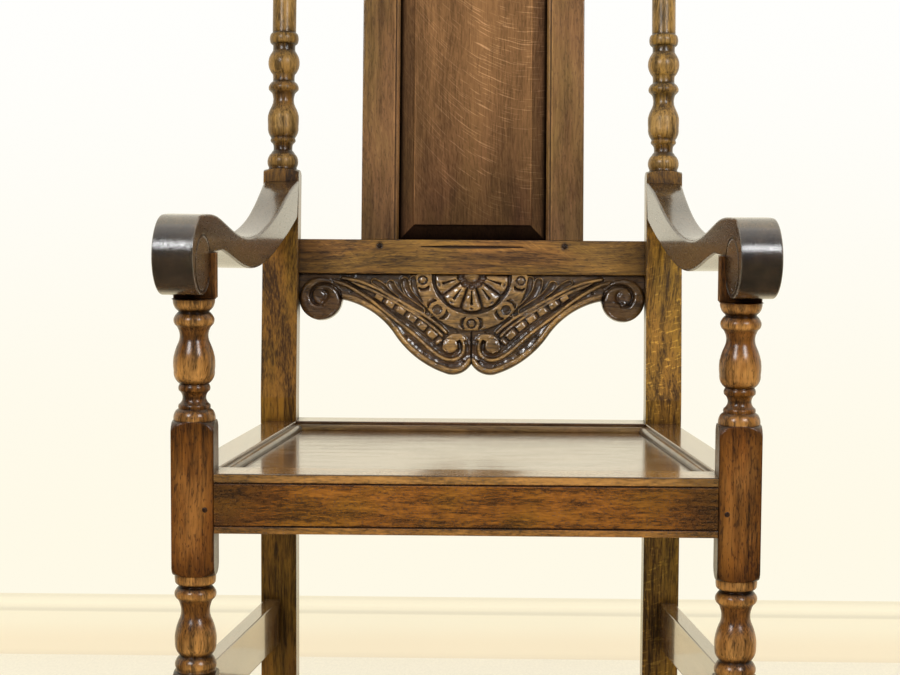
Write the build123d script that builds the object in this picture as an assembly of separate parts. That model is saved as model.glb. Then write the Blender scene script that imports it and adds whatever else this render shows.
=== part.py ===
from build123d import *
import math
import os

# A joined oak carver chair: turned front legs carry scrolled arms, square posts carry a raked panelled back.
# All lengths are in millimetres and all angles in degrees.
# The chair is built with X = 0 on its centre line, Y = 0 on the front legs' axes and Z = 0 on the floor.
# The last lines move it so that its origin is the middle of its footprint box, on the floor.

# Overall plan of the chair
seat_height = 450.0
seat_depth = 408.0
leg_size = 45.0
post_size = 43.0
leg_spread = 283.5
post_spread = 232.5

# Fits shared by all joints
joint_gap = 0.15
end_gap = 1.0
shadow_gap = 0.3
edge_round = 1.2
overrun = 5.0
cut_reach = 900.0

# Turned work: a corner reach wider than the square leaves the square untouched
corner_reach_share = 0.74
shoulder_height = 6.5
shoulder_round_share = 0.10

# Front leg: its lowest block is placed from the floor, the others from the top of the seat rails
foot_turning_top = 83.0
stretcher_block_top = 237.5
seat_block_fall = 109.5
seat_block_rise = 53.3
arm_block_rise = 179.7
leg_rise = 227.5
arm_step_gap = 0.6
arm_step_depth = 18.5
leg_tenon_length = 24.0
leg_tenon_width = 28.0
leg_tenon_thickness = 12.0

# Rows of each turning: height share of the stretch, radius share of half the square, bulge share of the row
foot_start_share = 0.62
foot_turning_shares = (
    (0.07, 0.86, 0.12), (0.41, 0.86, 0.10), (0.49, 0.60, 0.08), (0.52, 0.60, 0.0),
    (0.84, 0.79, -0.16), (0.87, 0.86, 0.0), (0.96, 0.88, 0.12), (1.0, 0.96, 0.0),
)
lower_start_share = 0.951
lower_turning_shares = (
    (0.024, 0.920, -0.05), (0.107, 0.929, 0.14), (0.155, 0.770, 0.05), (0.167, 0.770, 0.0),
    (0.286, 0.975, 0.10), (0.383, 0.966, 0.05), (0.519, 0.796, 0.03), (0.694, 0.733, -0.11),
    (0.755, 0.907, -0.10), (0.840, 0.916, 0.18), (0.877, 0.760, 0.05), (0.886, 0.760, 0.0),
    (0.917, 0.942, 0.10), (1.0, 0.964, 0.03),
)
upper_start_share = 0.973
upper_turning_shares = (
    (0.081, 0.862, 0.10), (0.097, 0.735, 0.0), (0.131, 0.729, 0.12), (0.247, 0.720, -0.27),
    (0.290, 0.711, 0.12), (0.302, 0.670, 0.0), (0.409, 0.953, 0.14), (0.524, 0.957, 0.035),
    (0.646, 0.724, 0.03), (0.757, 0.738, -0.11), (0.789, 0.871, -0.08), (0.862, 0.884, 0.17),
    (0.896, 0.715, 0.05), (0.907, 0.740, 0.0), (0.931, 0.880, 0.05), (1.0, 0.973, 0.08),
)

# Back post: upright to the bend, then raked; heights past the bend are measured along the raked axis
rake_angle = 8.5
bend_rise = 27.0
post_block_top = 277.0
vase_length = 107.5
ball_length = 62.0
column_length = 104.0
head_block_length = 66.0
finial_length = 66.0
vase_start_share = 0.972
vase_turning_shares = (
    (0.011, 0.800, 0.0), (0.033, 0.795, 0.0), (0.172, 0.763, 0.14), (0.191, 0.679, 0.0),
    (0.228, 0.540, 0.05), (0.274, 0.540, -0.03), (0.312, 0.623, -0.10), (0.340, 0.721, 0.10),
    (0.372, 0.684, 0.0), (0.502, 0.870, 0.10), (0.623, 0.879, 0.02), (0.726, 0.688, 0.04),
    (0.860, 0.623, -0.10), (0.898, 0.735, -0.10), (0.921, 0.842, 0.0), (0.966, 0.833, 0.10),
    (1.0, 0.730, 0.05),
)
ball_turning_shares = (
    (0.0, 0.730, 0.0), (0.040, 0.619, -0.10), (0.169, 0.633, -0.03), (0.605, 0.698, 0.18),
    (0.642, 0.640, 0.0), (0.758, 0.645, -0.04), (0.806, 0.791, 0.10), (0.952, 0.791, 0.08),
    (1.0, 0.672, 0.10),
)
finial_turning_shares = (
    (0.03, 0.80, 0.0), (0.09, 0.80, 0.10), (0.24, 0.44, -0.14), (0.28, 0.44, 0.0),
    (0.31, 0.60, 0.10), (0.37, 0.60, 0.10), (0.39, 0.50, 0.0), (0.82, 0.40, 0.18),
    (0.85, 0.30, 0.0), (0.88, 0.30, 0.0), (1.0, 0.05, 0.22),
)

# Seat rails
rail_height = 63.0
side_rail_thickness = 37.0
back_rail_thickness = 36.0
back_rail_setback = 1.5
scratch_width = 1.8
scratch_depth = 1.1
scratch_from_top = 10.0
scratch_from_bottom = 8.0
rail_tenon_height = 48.0
rail_tenon_thickness = 12.0
front_tenon_length = 29.0
front_tenon_setback = 13.5
side_tenon_inset = 20.0
side_tenon_front_length = 23.0
side_tenon_back_length = 19.0
back_tenon_length = 24.0
back_tenon_setback = 26.0

# Recessed seat board, its moulding and what holds it up
board_drop = 10.0
board_thickness = 12.0
board_gap = 0.5
moulding_width = 9.0
moulding_height = 6.5
moulding_round = 5.5
cleat_width = 18.0
cleat_height = 20.0
corner_block_leg = 62.0
corner_block_height = 17.0
corner_block_drop = 1.5
cleat_screw_length = 34.0
block_screw_length = 30.0
screw_radius = 2.0
screw_head_radius = 4.0
screw_head_height = 2.4
screw_gap = 0.05
long_cleat_screw_shares = (-0.66, 0.0, 0.66)
side_cleat_screw_shares = (0.22, 0.5, 0.78)
block_screw_share = 0.40

# Framed back, in the raked frame: across, forward to back, and up along the posts
frame_setback = 20.0
frame_thickness = 22.0
cross_rail_bottom = 151.0
back_rail_width = 42.0
top_rail_rise = 10.0
stile_inner = 90.0
stile_width = 45.5
stile_chamfer = 2.5
rail_end_tenon_length = 26.0
rail_end_tenon_thickness = 12.0
rail_end_tenon_height = 32.0
stile_tenon_length = 24.0
stile_tenon_thickness = 10.0
stile_tenon_width = 25.0
panel_tongue = 6.0
panel_tongue_depth = 7.0
panel_groove_depth = 8.0
panel_field_margin = 18.5
panel_field_set = 1.5
panel_step = 1.8
rail_scratch_half_length = 62.5
rail_scratch_drop = 8.7

# Carved boards: the apron hangs under the cross rail, the cresting stands on the top rail
carving_thickness = 20.0
carving_setback = 1.0
carving_end_gap = 0.3
apron_depth = 122.0
crest_depth = 90.0
apron_volute_radius = 25.8
crest_volute_radius = 24.0
volute_top_gap = 4.7
dowel_radius = 4.0
dowel_length = 30.0
dowel_gap = 0.05
dowel_spread = 96.0
# Lower edge from the outer volute's notch to the middle: across share of the half width, depth share
apron_notch_shares = (0.750, 0.254)
apron_sweep_shares = ((0.602, 0.351), (0.450, 0.590))
apron_curl_shares = ((0.284, 0.876), (0.133, 0.998))
apron_tip_shares = ((0.057, 0.982), (0.0, 0.894))

# Arms: straight inner face, splayed outwards to the front, waisted outside
arm_inner_set = 15.5
arm_width = 43.4
arm_crown_rise = 40.8
arm_dip_rise = 6.0
arm_root_rise = 62.0
arm_thickness = 34.5
arm_edge_round = 2.0
scroll_radius = 41.5
scroll_line_radius = 29.5
scroll_line_drop = 8.6
scroll_line_width = 2.2
scroll_line_depth = 1.3
arm_tenon_bottom = 222.0
arm_tenon_height = 34.0
arm_tenon_thickness = 14.0
arm_tenon_length = 26.0
# Along share of the reach, height share of the crown's rise over the dip
arm_top_shares = (
    (1.045, 1.753), (0.880, 1.207), (0.763, 0.70), (0.634, 0.273), (0.4695, 0.01), (0.2934, 0.221), (0.141, 0.727),
)
# Along share of the reach, height share of the arm's thickness from the dip
arm_underside_shares = (
    (1.045, 0.565), (0.887, -0.087), (0.763, -0.52), (0.521, -1.015), (0.366, -0.885), (0.293, -0.672),
)
arm_underside_end_share = 0.124
# Along share of the reach, width share
arm_waist_shares = (
    (1.05, 1.0), (0.97, 0.94), (0.90, 0.865), (0.775, 0.79), (0.62, 0.765), (0.434, 0.86), (0.21, 0.96), (0.06, 1.0),
)

# Stretchers
side_stretcher_bottom = 176.0
stretcher_height = 55.0
stretcher_thickness = 18.0
side_stretcher_outset = 5.0
front_stretcher_bottom = 96.0
back_stretcher_bottom = 76.0
cross_stretcher_height = 50.0
stretcher_tenon_thickness = 9.0
stretcher_tenon_margin = 8.0
stretcher_tenon_length = 20.0

# Pegs
peg_radius = 2.9
peg_gap = 0.05
peg_proud = 0.5
peg_short = 18.0
peg_long = 30.0
peg_shoulder_distance = 9.5
rail_peg_drop = 38.0
side_peg_drop = 25.0
stile_peg_drop = 7.5

# Places worked out from the sizes above
leg_half = leg_size / 2
post_half = post_size / 2
seat_front = leg_half
seat_back = seat_depth - post_half + back_rail_setback
leg_inner = leg_spread - leg_half
post_inner = post_spread - post_half
arm_inner = leg_spread - arm_inner_set
rail_bottom = seat_height - rail_height
rail_peg_height = seat_height - rail_peg_drop
side_peg_height = seat_height - side_peg_drop
seat_block_bottom = seat_height - seat_block_fall
seat_block_top = seat_height + seat_block_rise
arm_block_bottom = seat_height + arm_block_rise
leg_top = seat_height + leg_rise
bend_height = seat_height + bend_rise
arm_crown_height = leg_top + arm_crown_rise
arm_dip_height = leg_top + arm_dip_rise
arm_root_height = leg_top + arm_root_rise
arm_step_height = arm_crown_height - 2 * scroll_radius - arm_step_gap
seat_run = seat_depth - post_half - leg_half
side_slope = (leg_inner - post_inner) / seat_run
side_angle = math.degrees(math.atan(side_slope))
side_stretch = 1 / math.cos(math.radians(side_angle))
board_top = seat_height - board_drop
board_bottom = board_top - board_thickness
rake_sine = math.sin(math.radians(rake_angle))
rake_cosine = math.cos(math.radians(rake_angle))
half_rake = math.tan(math.radians(rake_angle / 2))
frame_front = frame_setback - post_half
frame_back = frame_front + frame_thickness
cross_rail_top = cross_rail_bottom + back_rail_width
column_bottom = post_block_top + vase_length + ball_length
column_top = column_bottom + column_length
head_block_bottom = column_top + ball_length + shoulder_height
head_block_top = head_block_bottom + head_block_length
top_rail_bottom = head_block_bottom + top_rail_rise
top_rail_top = top_rail_bottom + back_rail_width
post_top = head_block_top + finial_length
carving_front = frame_front + carving_setback

back_frame = Plane(origin=(0, seat_depth, bend_height), x_dir=(1, 0, 0), z_dir=(0, rake_sine, rake_cosine))


def in_back(shape):
    """Carry a shape from the raked frame of the back to the chair."""
    return back_frame.location * shape


def bar(low, high, grow=0.0):
    """A box between two corners, grown all round by a clearance."""
    size = [b - a + 2 * grow for a, b in zip(low, high)]
    middle = [(a + b) / 2 for a, b in zip(low, high)]
    return Pos(*middle) * Box(*size)


def other_side(shape):
    """The same piece on the chair's right-hand side."""
    return mirror(shape, about=Plane.YZ)


def plan_prism(points, low, high):
    """An upright prism over an outline given from above."""
    outline = make_face(Polyline(*points, close=True))
    return extrude(Pos(0, 0, low) * outline, amount=high - low)


def rounded_beam(half_length, front, back, low, high, rounding):
    """A beam along X with eased long edges."""
    section_face = Pos((front + back) / 2, (low + high) / 2) * RectangleRounded(back - front, high - low, rounding)
    return extrude(Plane.YZ * section_face, amount=half_length, both=True)


def stretch_rows(start, length, half, shares):
    """Turn shares into heights and radii along one stretch of a turning."""
    return [(start + rise * length, radius * half, bulge) for rise, radius, bulge in shares]


def mirrored_shares(shares):
    """The same turning read from its other end."""
    flipped = []
    for row, (rise, radius, bulge) in enumerate(shares):
        next_bulge = shares[row + 1][2] if row + 1 < len(shares) else 0.0
        flipped.append((1 - rise, radius, next_bulge))
    return tuple(reversed(flipped))


def turned_solid(rows):
    """Revolve rows of height, radius and bulge about the vertical axis."""
    height, radius, _ = rows[0]
    edges = [Line((0, height), (radius, height))]
    for next_height, next_radius, bulge in rows[1:]:
        rise = next_height - height
        widening = next_radius - radius
        ends = (radius, height), (next_radius, next_height)
        if bulge:
            middle = ((radius + next_radius) / 2 + bulge * rise, (height + next_height) / 2 - bulge * widening)
            edges.append(ThreePointArc(ends[0], middle, ends[1]))
        else:
            edges.append(Line(*ends))
        height, radius = next_height, next_radius
    edges.append(Line((radius, height), (0, height)))
    edges.append(Line((0, height), (0, rows[0][0])))
    return revolve(Plane.XZ * make_face(edges), axis=Axis.Z)


def block_rows(low, high, half, low_share, high_share):
    """A square block between two turnings, with turned shoulders that arch on each face."""
    corner = 2 * half * corner_reach_share
    return [
        (low, low_share * half, 0.0),
        (low + shoulder_height, corner, shoulder_round_share),
        (high - shoulder_height, corner, 0.0),
        (high, high_share * half, shoulder_round_share),
    ]


def recess_x(y):
    """Half width of the seat's recess at a distance behind the front legs' axes."""
    return leg_inner - side_slope * (y - leg_half)


def side_bar(y_low, y_high, inset, thickness, low, high, grow=0.0):
    """A length of timber in line with a left side rail, inset from the recess edge."""
    near = (inset - thickness / 2 - grow) * side_stretch
    far = (inset + thickness / 2 + grow) * side_stretch
    points = [
        (-recess_x(y_low) - near, y_low), (-recess_x(y_high) - near, y_high),
        (-recess_x(y_high) - far, y_high), (-recess_x(y_low) - far, y_low),
    ]
    return plan_prism(points, low - grow, high + grow)


# Tenons, each drawn once and cut again with its clearance as the mortise

def front_rail_tenons(grow=0.0):
    reach = leg_inner + front_tenon_length + grow * end_gap / joint_gap
    front = -leg_half + front_tenon_setback - rail_tenon_thickness / 2
    low = rail_bottom + (rail_height - rail_tenon_height) / 2
    corner_low = (-reach, front - grow, low - grow)
    corner_high = (reach, front + rail_tenon_thickness + grow, low + rail_tenon_height + grow)
    return bar(corner_low, corner_high)


def side_rail_tenons(grow=0.0):
    extra = grow * end_gap / joint_gap
    low = rail_bottom + (rail_height - rail_tenon_height) / 2
    y_low = leg_half - side_tenon_front_length - extra
    y_high = seat_depth - post_half + side_tenon_back_length + extra
    return side_bar(y_low, y_high, side_tenon_inset, rail_tenon_thickness, low, low + rail_tenon_height, grow)


def back_rail_tenons(grow=0.0):
    reach = post_inner + back_tenon_length + grow * end_gap / joint_gap
    middle = seat_back + back_tenon_setback
    low = rail_bottom + (rail_height - rail_tenon_height) / 2
    corner_low = (-reach, middle - rail_tenon_thickness / 2 - grow, low - grow)
    corner_high = (reach, middle + rail_tenon_thickness / 2 + grow, low + rail_tenon_height + grow)
    return bar(corner_low, corner_high)


def frame_rail_tenons(bottom, grow=0.0):
    """End tenons of the cross rail or the top rail, in the raked frame."""
    reach = post_inner + rail_end_tenon_length + grow * end_gap / joint_gap
    front = frame_front + (frame_thickness - rail_end_tenon_thickness) / 2
    low = bottom + (back_rail_width - rail_end_tenon_height) / 2
    corner_low = (-reach, front - grow, low - grow)
    corner_high = (reach, front + rail_end_tenon_thickness + grow, low + rail_end_tenon_height + grow)
    return bar(corner_low, corner_high)


def stile_tenons(grow=0.0):
    """Both end tenons of the left stile, in the raked frame."""
    extra = grow * end_gap / joint_gap
    middle = stile_inner + stile_width / 2
    front = frame_front + (frame_thickness - stile_tenon_thickness) / 2
    corner_low = (-middle - stile_tenon_width / 2, front, cross_rail_top - stile_tenon_length - extra)
    corner_high = (-middle + stile_tenon_width / 2, front + stile_tenon_thickness,
                   top_rail_bottom + stile_tenon_length + extra)
    return bar([corner_low[0] - grow, corner_low[1] - grow, corner_low[2]],
               [corner_high[0] + grow, corner_high[1] + grow, corner_high[2]])


def arm_tenon(grow=0.0):
    """The tenon of the left arm in its post, in the raked frame."""
    depth = arm_tenon_length + grow * end_gap / joint_gap
    low = (-post_spread - arm_tenon_thickness / 2 - grow, -post_half, arm_tenon_bottom - grow)
    high = (-post_spread + arm_tenon_thickness / 2 + grow, -post_half + depth,
            arm_tenon_bottom + arm_tenon_height + grow)
    return bar(low, high)


def leg_tenon(grow=0.0):
    """The tenon on top of the left front leg, which enters the arm."""
    height = leg_tenon_length + grow * end_gap / joint_gap
    middle = leg_half - arm_step_depth / 2
    low = (-leg_spread - leg_tenon_width / 2 - grow, middle - leg_tenon_thickness / 2 - grow, leg_top)
    high = (-leg_spread + leg_tenon_width / 2 + grow, middle + leg_tenon_thickness / 2 + grow, leg_top + height)
    return bar(low, high)


def side_stretcher_bar(y_low, y_high, thickness, low, high, grow=0.0):
    """Timber on the line between a left leg and post, set a little outwards."""
    slope = (leg_spread - post_spread) / seat_depth
    near = side_stretcher_outset - (thickness / 2 + grow) * side_stretch
    far = side_stretcher_outset + (thickness / 2 + grow) * side_stretch
    x_low = leg_spread - slope * y_low
    x_high = leg_spread - slope * y_high
    points = [(-x_low - near, y_low), (-x_high - near, y_high), (-x_high - far, y_high), (-x_low - far, y_low)]
    return plan_prism(points, low - grow, high + grow)


def side_stretcher_tenons(grow=0.0):
    extra = grow * end_gap / joint_gap
    y_low = leg_half - stretcher_tenon_length - extra
    y_high = seat_depth - post_half + stretcher_tenon_length + extra
    low = side_stretcher_bottom + stretcher_tenon_margin
    high = side_stretcher_bottom + stretcher_height - stretcher_tenon_margin
    return side_stretcher_bar(y_low, y_high, stretcher_tenon_thickness, low, high, grow)


def cross_stretcher_tenons(shoulder, y, bottom, grow=0.0):
    reach = shoulder + stretcher_tenon_length + grow * end_gap / joint_gap
    half = stretcher_tenon_thickness / 2 + grow
    low = bottom + stretcher_tenon_margin - grow
    high = bottom + cross_stretcher_height - stretcher_tenon_margin + grow
    return bar((-reach, y - half, low), (reach, y + half, high))


# Legs and posts

def front_leg():
    rows = [(0.0, foot_start_share * leg_half, 0.0)]
    rows += stretch_rows(0.0, foot_turning_top, leg_half, foot_turning_shares)
    rows += block_rows(foot_turning_top, stretcher_block_top, leg_half,
                       foot_turning_shares[-1][1], lower_start_share)[1:]
    rows += stretch_rows(stretcher_block_top, seat_block_bottom - stretcher_block_top, leg_half, lower_turning_shares)
    rows += block_rows(seat_block_bottom, seat_block_top, leg_half,
                       lower_turning_shares[-1][1], upper_start_share)[1:]
    rows += stretch_rows(seat_block_top, arm_block_bottom - seat_block_top, leg_half, upper_turning_shares)
    rows += [(arm_block_bottom + shoulder_height, 2 * leg_half * corner_reach_share, shoulder_round_share),
             (leg_top, 2 * leg_half * corner_reach_share, 0.0)]
    square = extrude(RectangleRounded(leg_size, leg_size, edge_round), amount=leg_top)
    leg = Pos(-leg_spread, 0, 0) * (square & turned_solid(rows))
    step = bar((-leg_spread - leg_size, -leg_size, arm_step_height),
               (-leg_spread + leg_size, leg_half - arm_step_depth, leg_top + overrun))
    leg = leg - step + leg_tenon()
    leg -= front_rail_tenons(joint_gap)
    leg -= side_rail_tenons(joint_gap)
    leg -= side_stretcher_tenons(joint_gap)
    leg -= cross_stretcher_tenons(leg_inner, 0.0, front_stretcher_bottom, joint_gap)
    return leg


def back_post():
    turn_start = post_block_top - shoulder_height
    top_front = (seat_depth - post_half * rake_cosine + turn_start * rake_sine,
                 bend_height + post_half * rake_sine + turn_start * rake_cosine)
    top_back = (seat_depth + post_half * rake_cosine + turn_start * rake_sine,
                bend_height - post_half * rake_sine + turn_start * rake_cosine)
    side = make_face(Polyline(
        (seat_depth - post_half, 0), (seat_depth + post_half, 0),
        (seat_depth + post_half, bend_height - post_half * half_rake), top_back, top_front,
        (seat_depth - post_half, bend_height + post_half * half_rake), close=True))
    blank = extrude(Plane.YZ * side, amount=post_half, both=True)
    long_edges = blank.edges().filter_by(lambda edge: edge.length > post_size * 2)
    blank = fillet(long_edges, edge_round)
    corner = 2 * post_half * corner_reach_share
    rows = [(turn_start, corner, 0.0), (post_block_top, vase_start_share * post_half, shoulder_round_share)]
    rows += stretch_rows(post_block_top, vase_length, post_half, vase_turning_shares)
    rows += stretch_rows(post_block_top + vase_length, ball_length, post_half, ball_turning_shares[1:])
    rows += stretch_rows(column_top, ball_length, post_half, mirrored_shares(ball_turning_shares))
    rows += [(head_block_bottom, corner, shoulder_round_share),
             (head_block_top - shoulder_height, corner, 0.0),
             (head_block_top, vase_start_share * post_half, shoulder_round_share)]
    rows += stretch_rows(head_block_top, finial_length, post_half, finial_turning_shares)
    square = extrude(Pos(0, 0, turn_start) * RectangleRounded(post_size, post_size, edge_round),
                     amount=post_top - turn_start)
    head = square & turned_solid(rows)
    post = Pos(-post_spread, 0, 0) * (blank + in_back(head))
    post -= side_rail_tenons(joint_gap)
    post -= back_rail_tenons(joint_gap)
    post -= side_stretcher_tenons(joint_gap)
    post -= cross_stretcher_tenons(post_inner, seat_depth, back_stretcher_bottom, joint_gap)
    for bottom in (cross_rail_bottom, top_rail_bottom):
        post -= in_back(frame_rail_tenons(bottom, joint_gap))
    return post - in_back(arm_tenon(joint_gap))


# Seat frame

def front_rail():
    rail = rounded_beam(leg_inner, -leg_half, leg_half, rail_bottom, seat_height, edge_round)
    for middle in (seat_height - scratch_from_top, rail_bottom + scratch_from_bottom):
        low = (-leg_inner - overrun, -leg_half - overrun, middle - scratch_width / 2)
        high = (leg_inner + overrun, -leg_half + scratch_depth, middle + scratch_width / 2)
        rail -= bar(low, high)
    return rail + front_rail_tenons()


def side_rail():
    body = side_bar(leg_half, seat_depth - post_half, side_rail_thickness / 2, side_rail_thickness,
                    rail_bottom, seat_height)
    body = fillet(body.edges().filter_by(lambda edge: edge.length > seat_run / 2), edge_round)
    return body + side_rail_tenons()


def back_rail():
    rail = rounded_beam(post_inner, seat_back, seat_back + back_rail_thickness, rail_bottom, seat_height, edge_round)
    return rail + back_rail_tenons()


def recess_ring(width, low, high, margin=0.0):
    """Four mitred lengths round the inside of the seat frame: front, back, left and right."""
    y_front, y_back = seat_front + margin, seat_back - margin
    side = margin * side_stretch
    inner_side = (margin + width) * side_stretch
    outer = [(recess_x(y_front) - side, y_front), (recess_x(y_back) - side, y_back)]
    inner = [(recess_x(y_front + width) - inner_side, y_front + width),
             (recess_x(y_back - width) - inner_side, y_back - width)]
    (ofx, ofy), (obx, oby) = outer
    (ifx, ify), (ibx, iby) = inner
    front = plan_prism([(-ofx, ofy), (ofx, ofy), (ifx, ify), (-ifx, ify)], low, high)
    back = plan_prism([(-obx, oby), (obx, oby), (ibx, iby), (-ibx, iby)], low, high)
    left = plan_prism([(-ofx, ofy), (-obx, oby), (-ibx, iby), (-ifx, ify)], low, high)
    return {"front": front, "back": back, "left": left, "right": other_side(left)}


def seat_board():
    y_front, y_back = seat_front + board_gap, seat_back - board_gap
    side = board_gap * side_stretch
    x_front, x_back = recess_x(y_front) - side, recess_x(y_back) - side
    points = [(-x_front, y_front), (x_front, y_front), (x_back, y_back), (-x_back, y_back)]
    return plan_prism(points, board_bottom, board_top)


def seat_mouldings():
    middle = (0, (seat_front + seat_back) / 2, board_top + moulding_height)
    lengths = {}
    for name, strip in recess_ring(moulding_width, board_top, board_top + moulding_height).items():
        top_edges = strip.faces().sort_by(Axis.Z)[-1].edges()
        inner_edge = top_edges.sort_by_distance(middle)[0]
        lengths[name] = fillet(inner_edge, moulding_round)
    return lengths


def corner_block(y_corner, inwards):
    """A triangular block in a left corner of the seat frame."""
    y_end = y_corner + inwards * corner_block_leg
    points = [(-recess_x(y_corner), y_corner), (-recess_x(y_corner) + corner_block_leg, y_corner),
              (-recess_x(y_end), y_end)]
    high = rail_bottom + corner_block_drop + corner_block_height
    return plan_prism(points, rail_bottom + corner_block_drop, high)


# Framed back, drawn in the raked frame

def frame_rail(bottom, groove_up):
    """The cross rail or the top rail, with mortises for the stiles and a groove for the panel."""
    rail = rounded_beam(post_inner, frame_front, frame_back, bottom, bottom + back_rail_width, edge_round)
    rail += frame_rail_tenons(bottom)
    for tenon in (stile_tenons(joint_gap), other_side(stile_tenons(joint_gap))):
        rail -= tenon
    groove_middle = panel_groove_middle
    groove_half = panel_tongue / 2 + joint_gap
    reach = stile_inner + panel_groove_depth
    edge = bottom + back_rail_width if groove_up else bottom
    low = edge - panel_groove_depth if groove_up else edge - overrun
    high = edge + overrun if groove_up else edge + panel_groove_depth
    return rail - bar((-reach, groove_middle - groove_half, low), (reach, groove_middle + groove_half, high))


panel_groove_middle = frame_front + frame_thickness / 2 + panel_step


def cross_rail():
    rail = frame_rail(cross_rail_bottom, True)
    middle = cross_rail_top - rail_scratch_drop
    low = (-rail_scratch_half_length, frame_front - overrun, middle - scratch_width / 2)
    high = (rail_scratch_half_length, frame_front + scratch_depth, middle + scratch_width / 2)
    return rail - bar(low, high)


def inner_stile():
    body = bar((-stile_inner - stile_width, frame_front, cross_rail_top), (-stile_inner, frame_back, top_rail_bottom))
    upright = body.edges().filter_by(Axis.Z).sort_by_distance((-stile_inner, frame_front, cross_rail_top))
    body = chamfer(upright[0], stile_chamfer)
    outer = body.edges().filter_by(Axis.Z).sort_by(Axis.X)[:2]
    body = fillet(outer, edge_round)
    groove_half = panel_tongue / 2 + joint_gap
    groove = bar((-stile_inner - panel_groove_depth, panel_groove_middle - groove_half, cross_rail_top - overrun),
                 (-stile_inner + overrun, panel_groove_middle + groove_half, top_rail_bottom + overrun))
    return body - groove + stile_tenons()


def back_panel():
    tongue_front = panel_groove_middle - panel_tongue / 2
    half = stile_inner + panel_tongue_depth
    low, high = cross_rail_top - panel_tongue_depth, top_rail_bottom + panel_tongue_depth
    slab = bar((-half, tongue_front, low), (half, panel_groove_middle + panel_tongue / 2, high))
    middle = (cross_rail_top + top_rail_bottom) / 2
    opening = Rectangle(2 * stile_inner - 2 * shadow_gap, top_rail_bottom - cross_rail_top - 2 * shadow_gap)
    field = Rectangle(2 * (stile_inner - panel_field_margin),
                      top_rail_bottom - cross_rail_top - 2 * panel_field_margin)
    field_front = frame_front + panel_field_set
    bevel_back = Plane(origin=(0, tongue_front, middle), x_dir=(1, 0, 0), z_dir=(0, -1, 0))
    bevel_front = Plane(origin=(0, field_front + panel_step, middle), x_dir=(1, 0, 0), z_dir=(0, -1, 0))
    bevel = loft([bevel_back * opening, bevel_front * field], ruled=True)
    raised = extrude(bevel_front * field, amount=panel_step)
    return slab + bevel + raised


def carved_outline(half_width, depth, volute_radius):
    """Outline of a carved board: straight along its rail, a volute at each end and a scroll in the middle."""
    volute_middle = (half_width - volute_radius, volute_top_gap + volute_radius)
    notch = (apron_notch_shares[0] * half_width, apron_notch_shares[1] * depth)
    sweep = [(a * half_width, d * depth) for a, d in apron_sweep_shares]
    curl = [(a * half_width, d * depth) for a, d in apron_curl_shares]
    tip = [(a * half_width, d * depth) for a, d in apron_tip_shares]
    half_edges = [
        Line((0, 0), (half_width, 0)),
        Line((half_width, 0), (half_width, volute_middle[1])),
        ThreePointArc((half_width, volute_middle[1]), (volute_middle[0], volute_middle[1] + volute_radius), notch),
        ThreePointArc(notch, sweep[0], sweep[1]),
        ThreePointArc(sweep[1], curl[0], curl[1]),
        ThreePointArc(curl[1], tip[0], tip[1]),
        Line(tip[1], (0, 0)),
    ]
    half = make_face(half_edges)
    return half + mirror(half, about=Plane.YZ)


def carved_board(depth, volute_radius, edge, upwards):
    """A carved board laid against a rail's edge, hanging down from it or standing up on it."""
    outline = carved_outline(post_inner - carving_end_gap, depth, volute_radius)
    turn = -1 if upwards else 1
    face = Plane(origin=(0, carving_front, edge), x_dir=(1, 0, 0), z_dir=(0, turn, 0))
    return extrude(face * outline, amount=turn * carving_thickness)


# Arms

def eased_arm(arm):
    """Round the arm's long arrises and its scroll, but leave the flat that rests on the leg."""
    def is_long_arris(edge):
        on_leg = abs((edge @ 0.5).Z - leg_top) < arm_edge_round / 2
        return edge.geom_type != GeomType.LINE and edge.length > leg_half and not on_leg
    return fillet(arm.edges().filter_by(is_long_arris), arm_edge_round)


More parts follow.
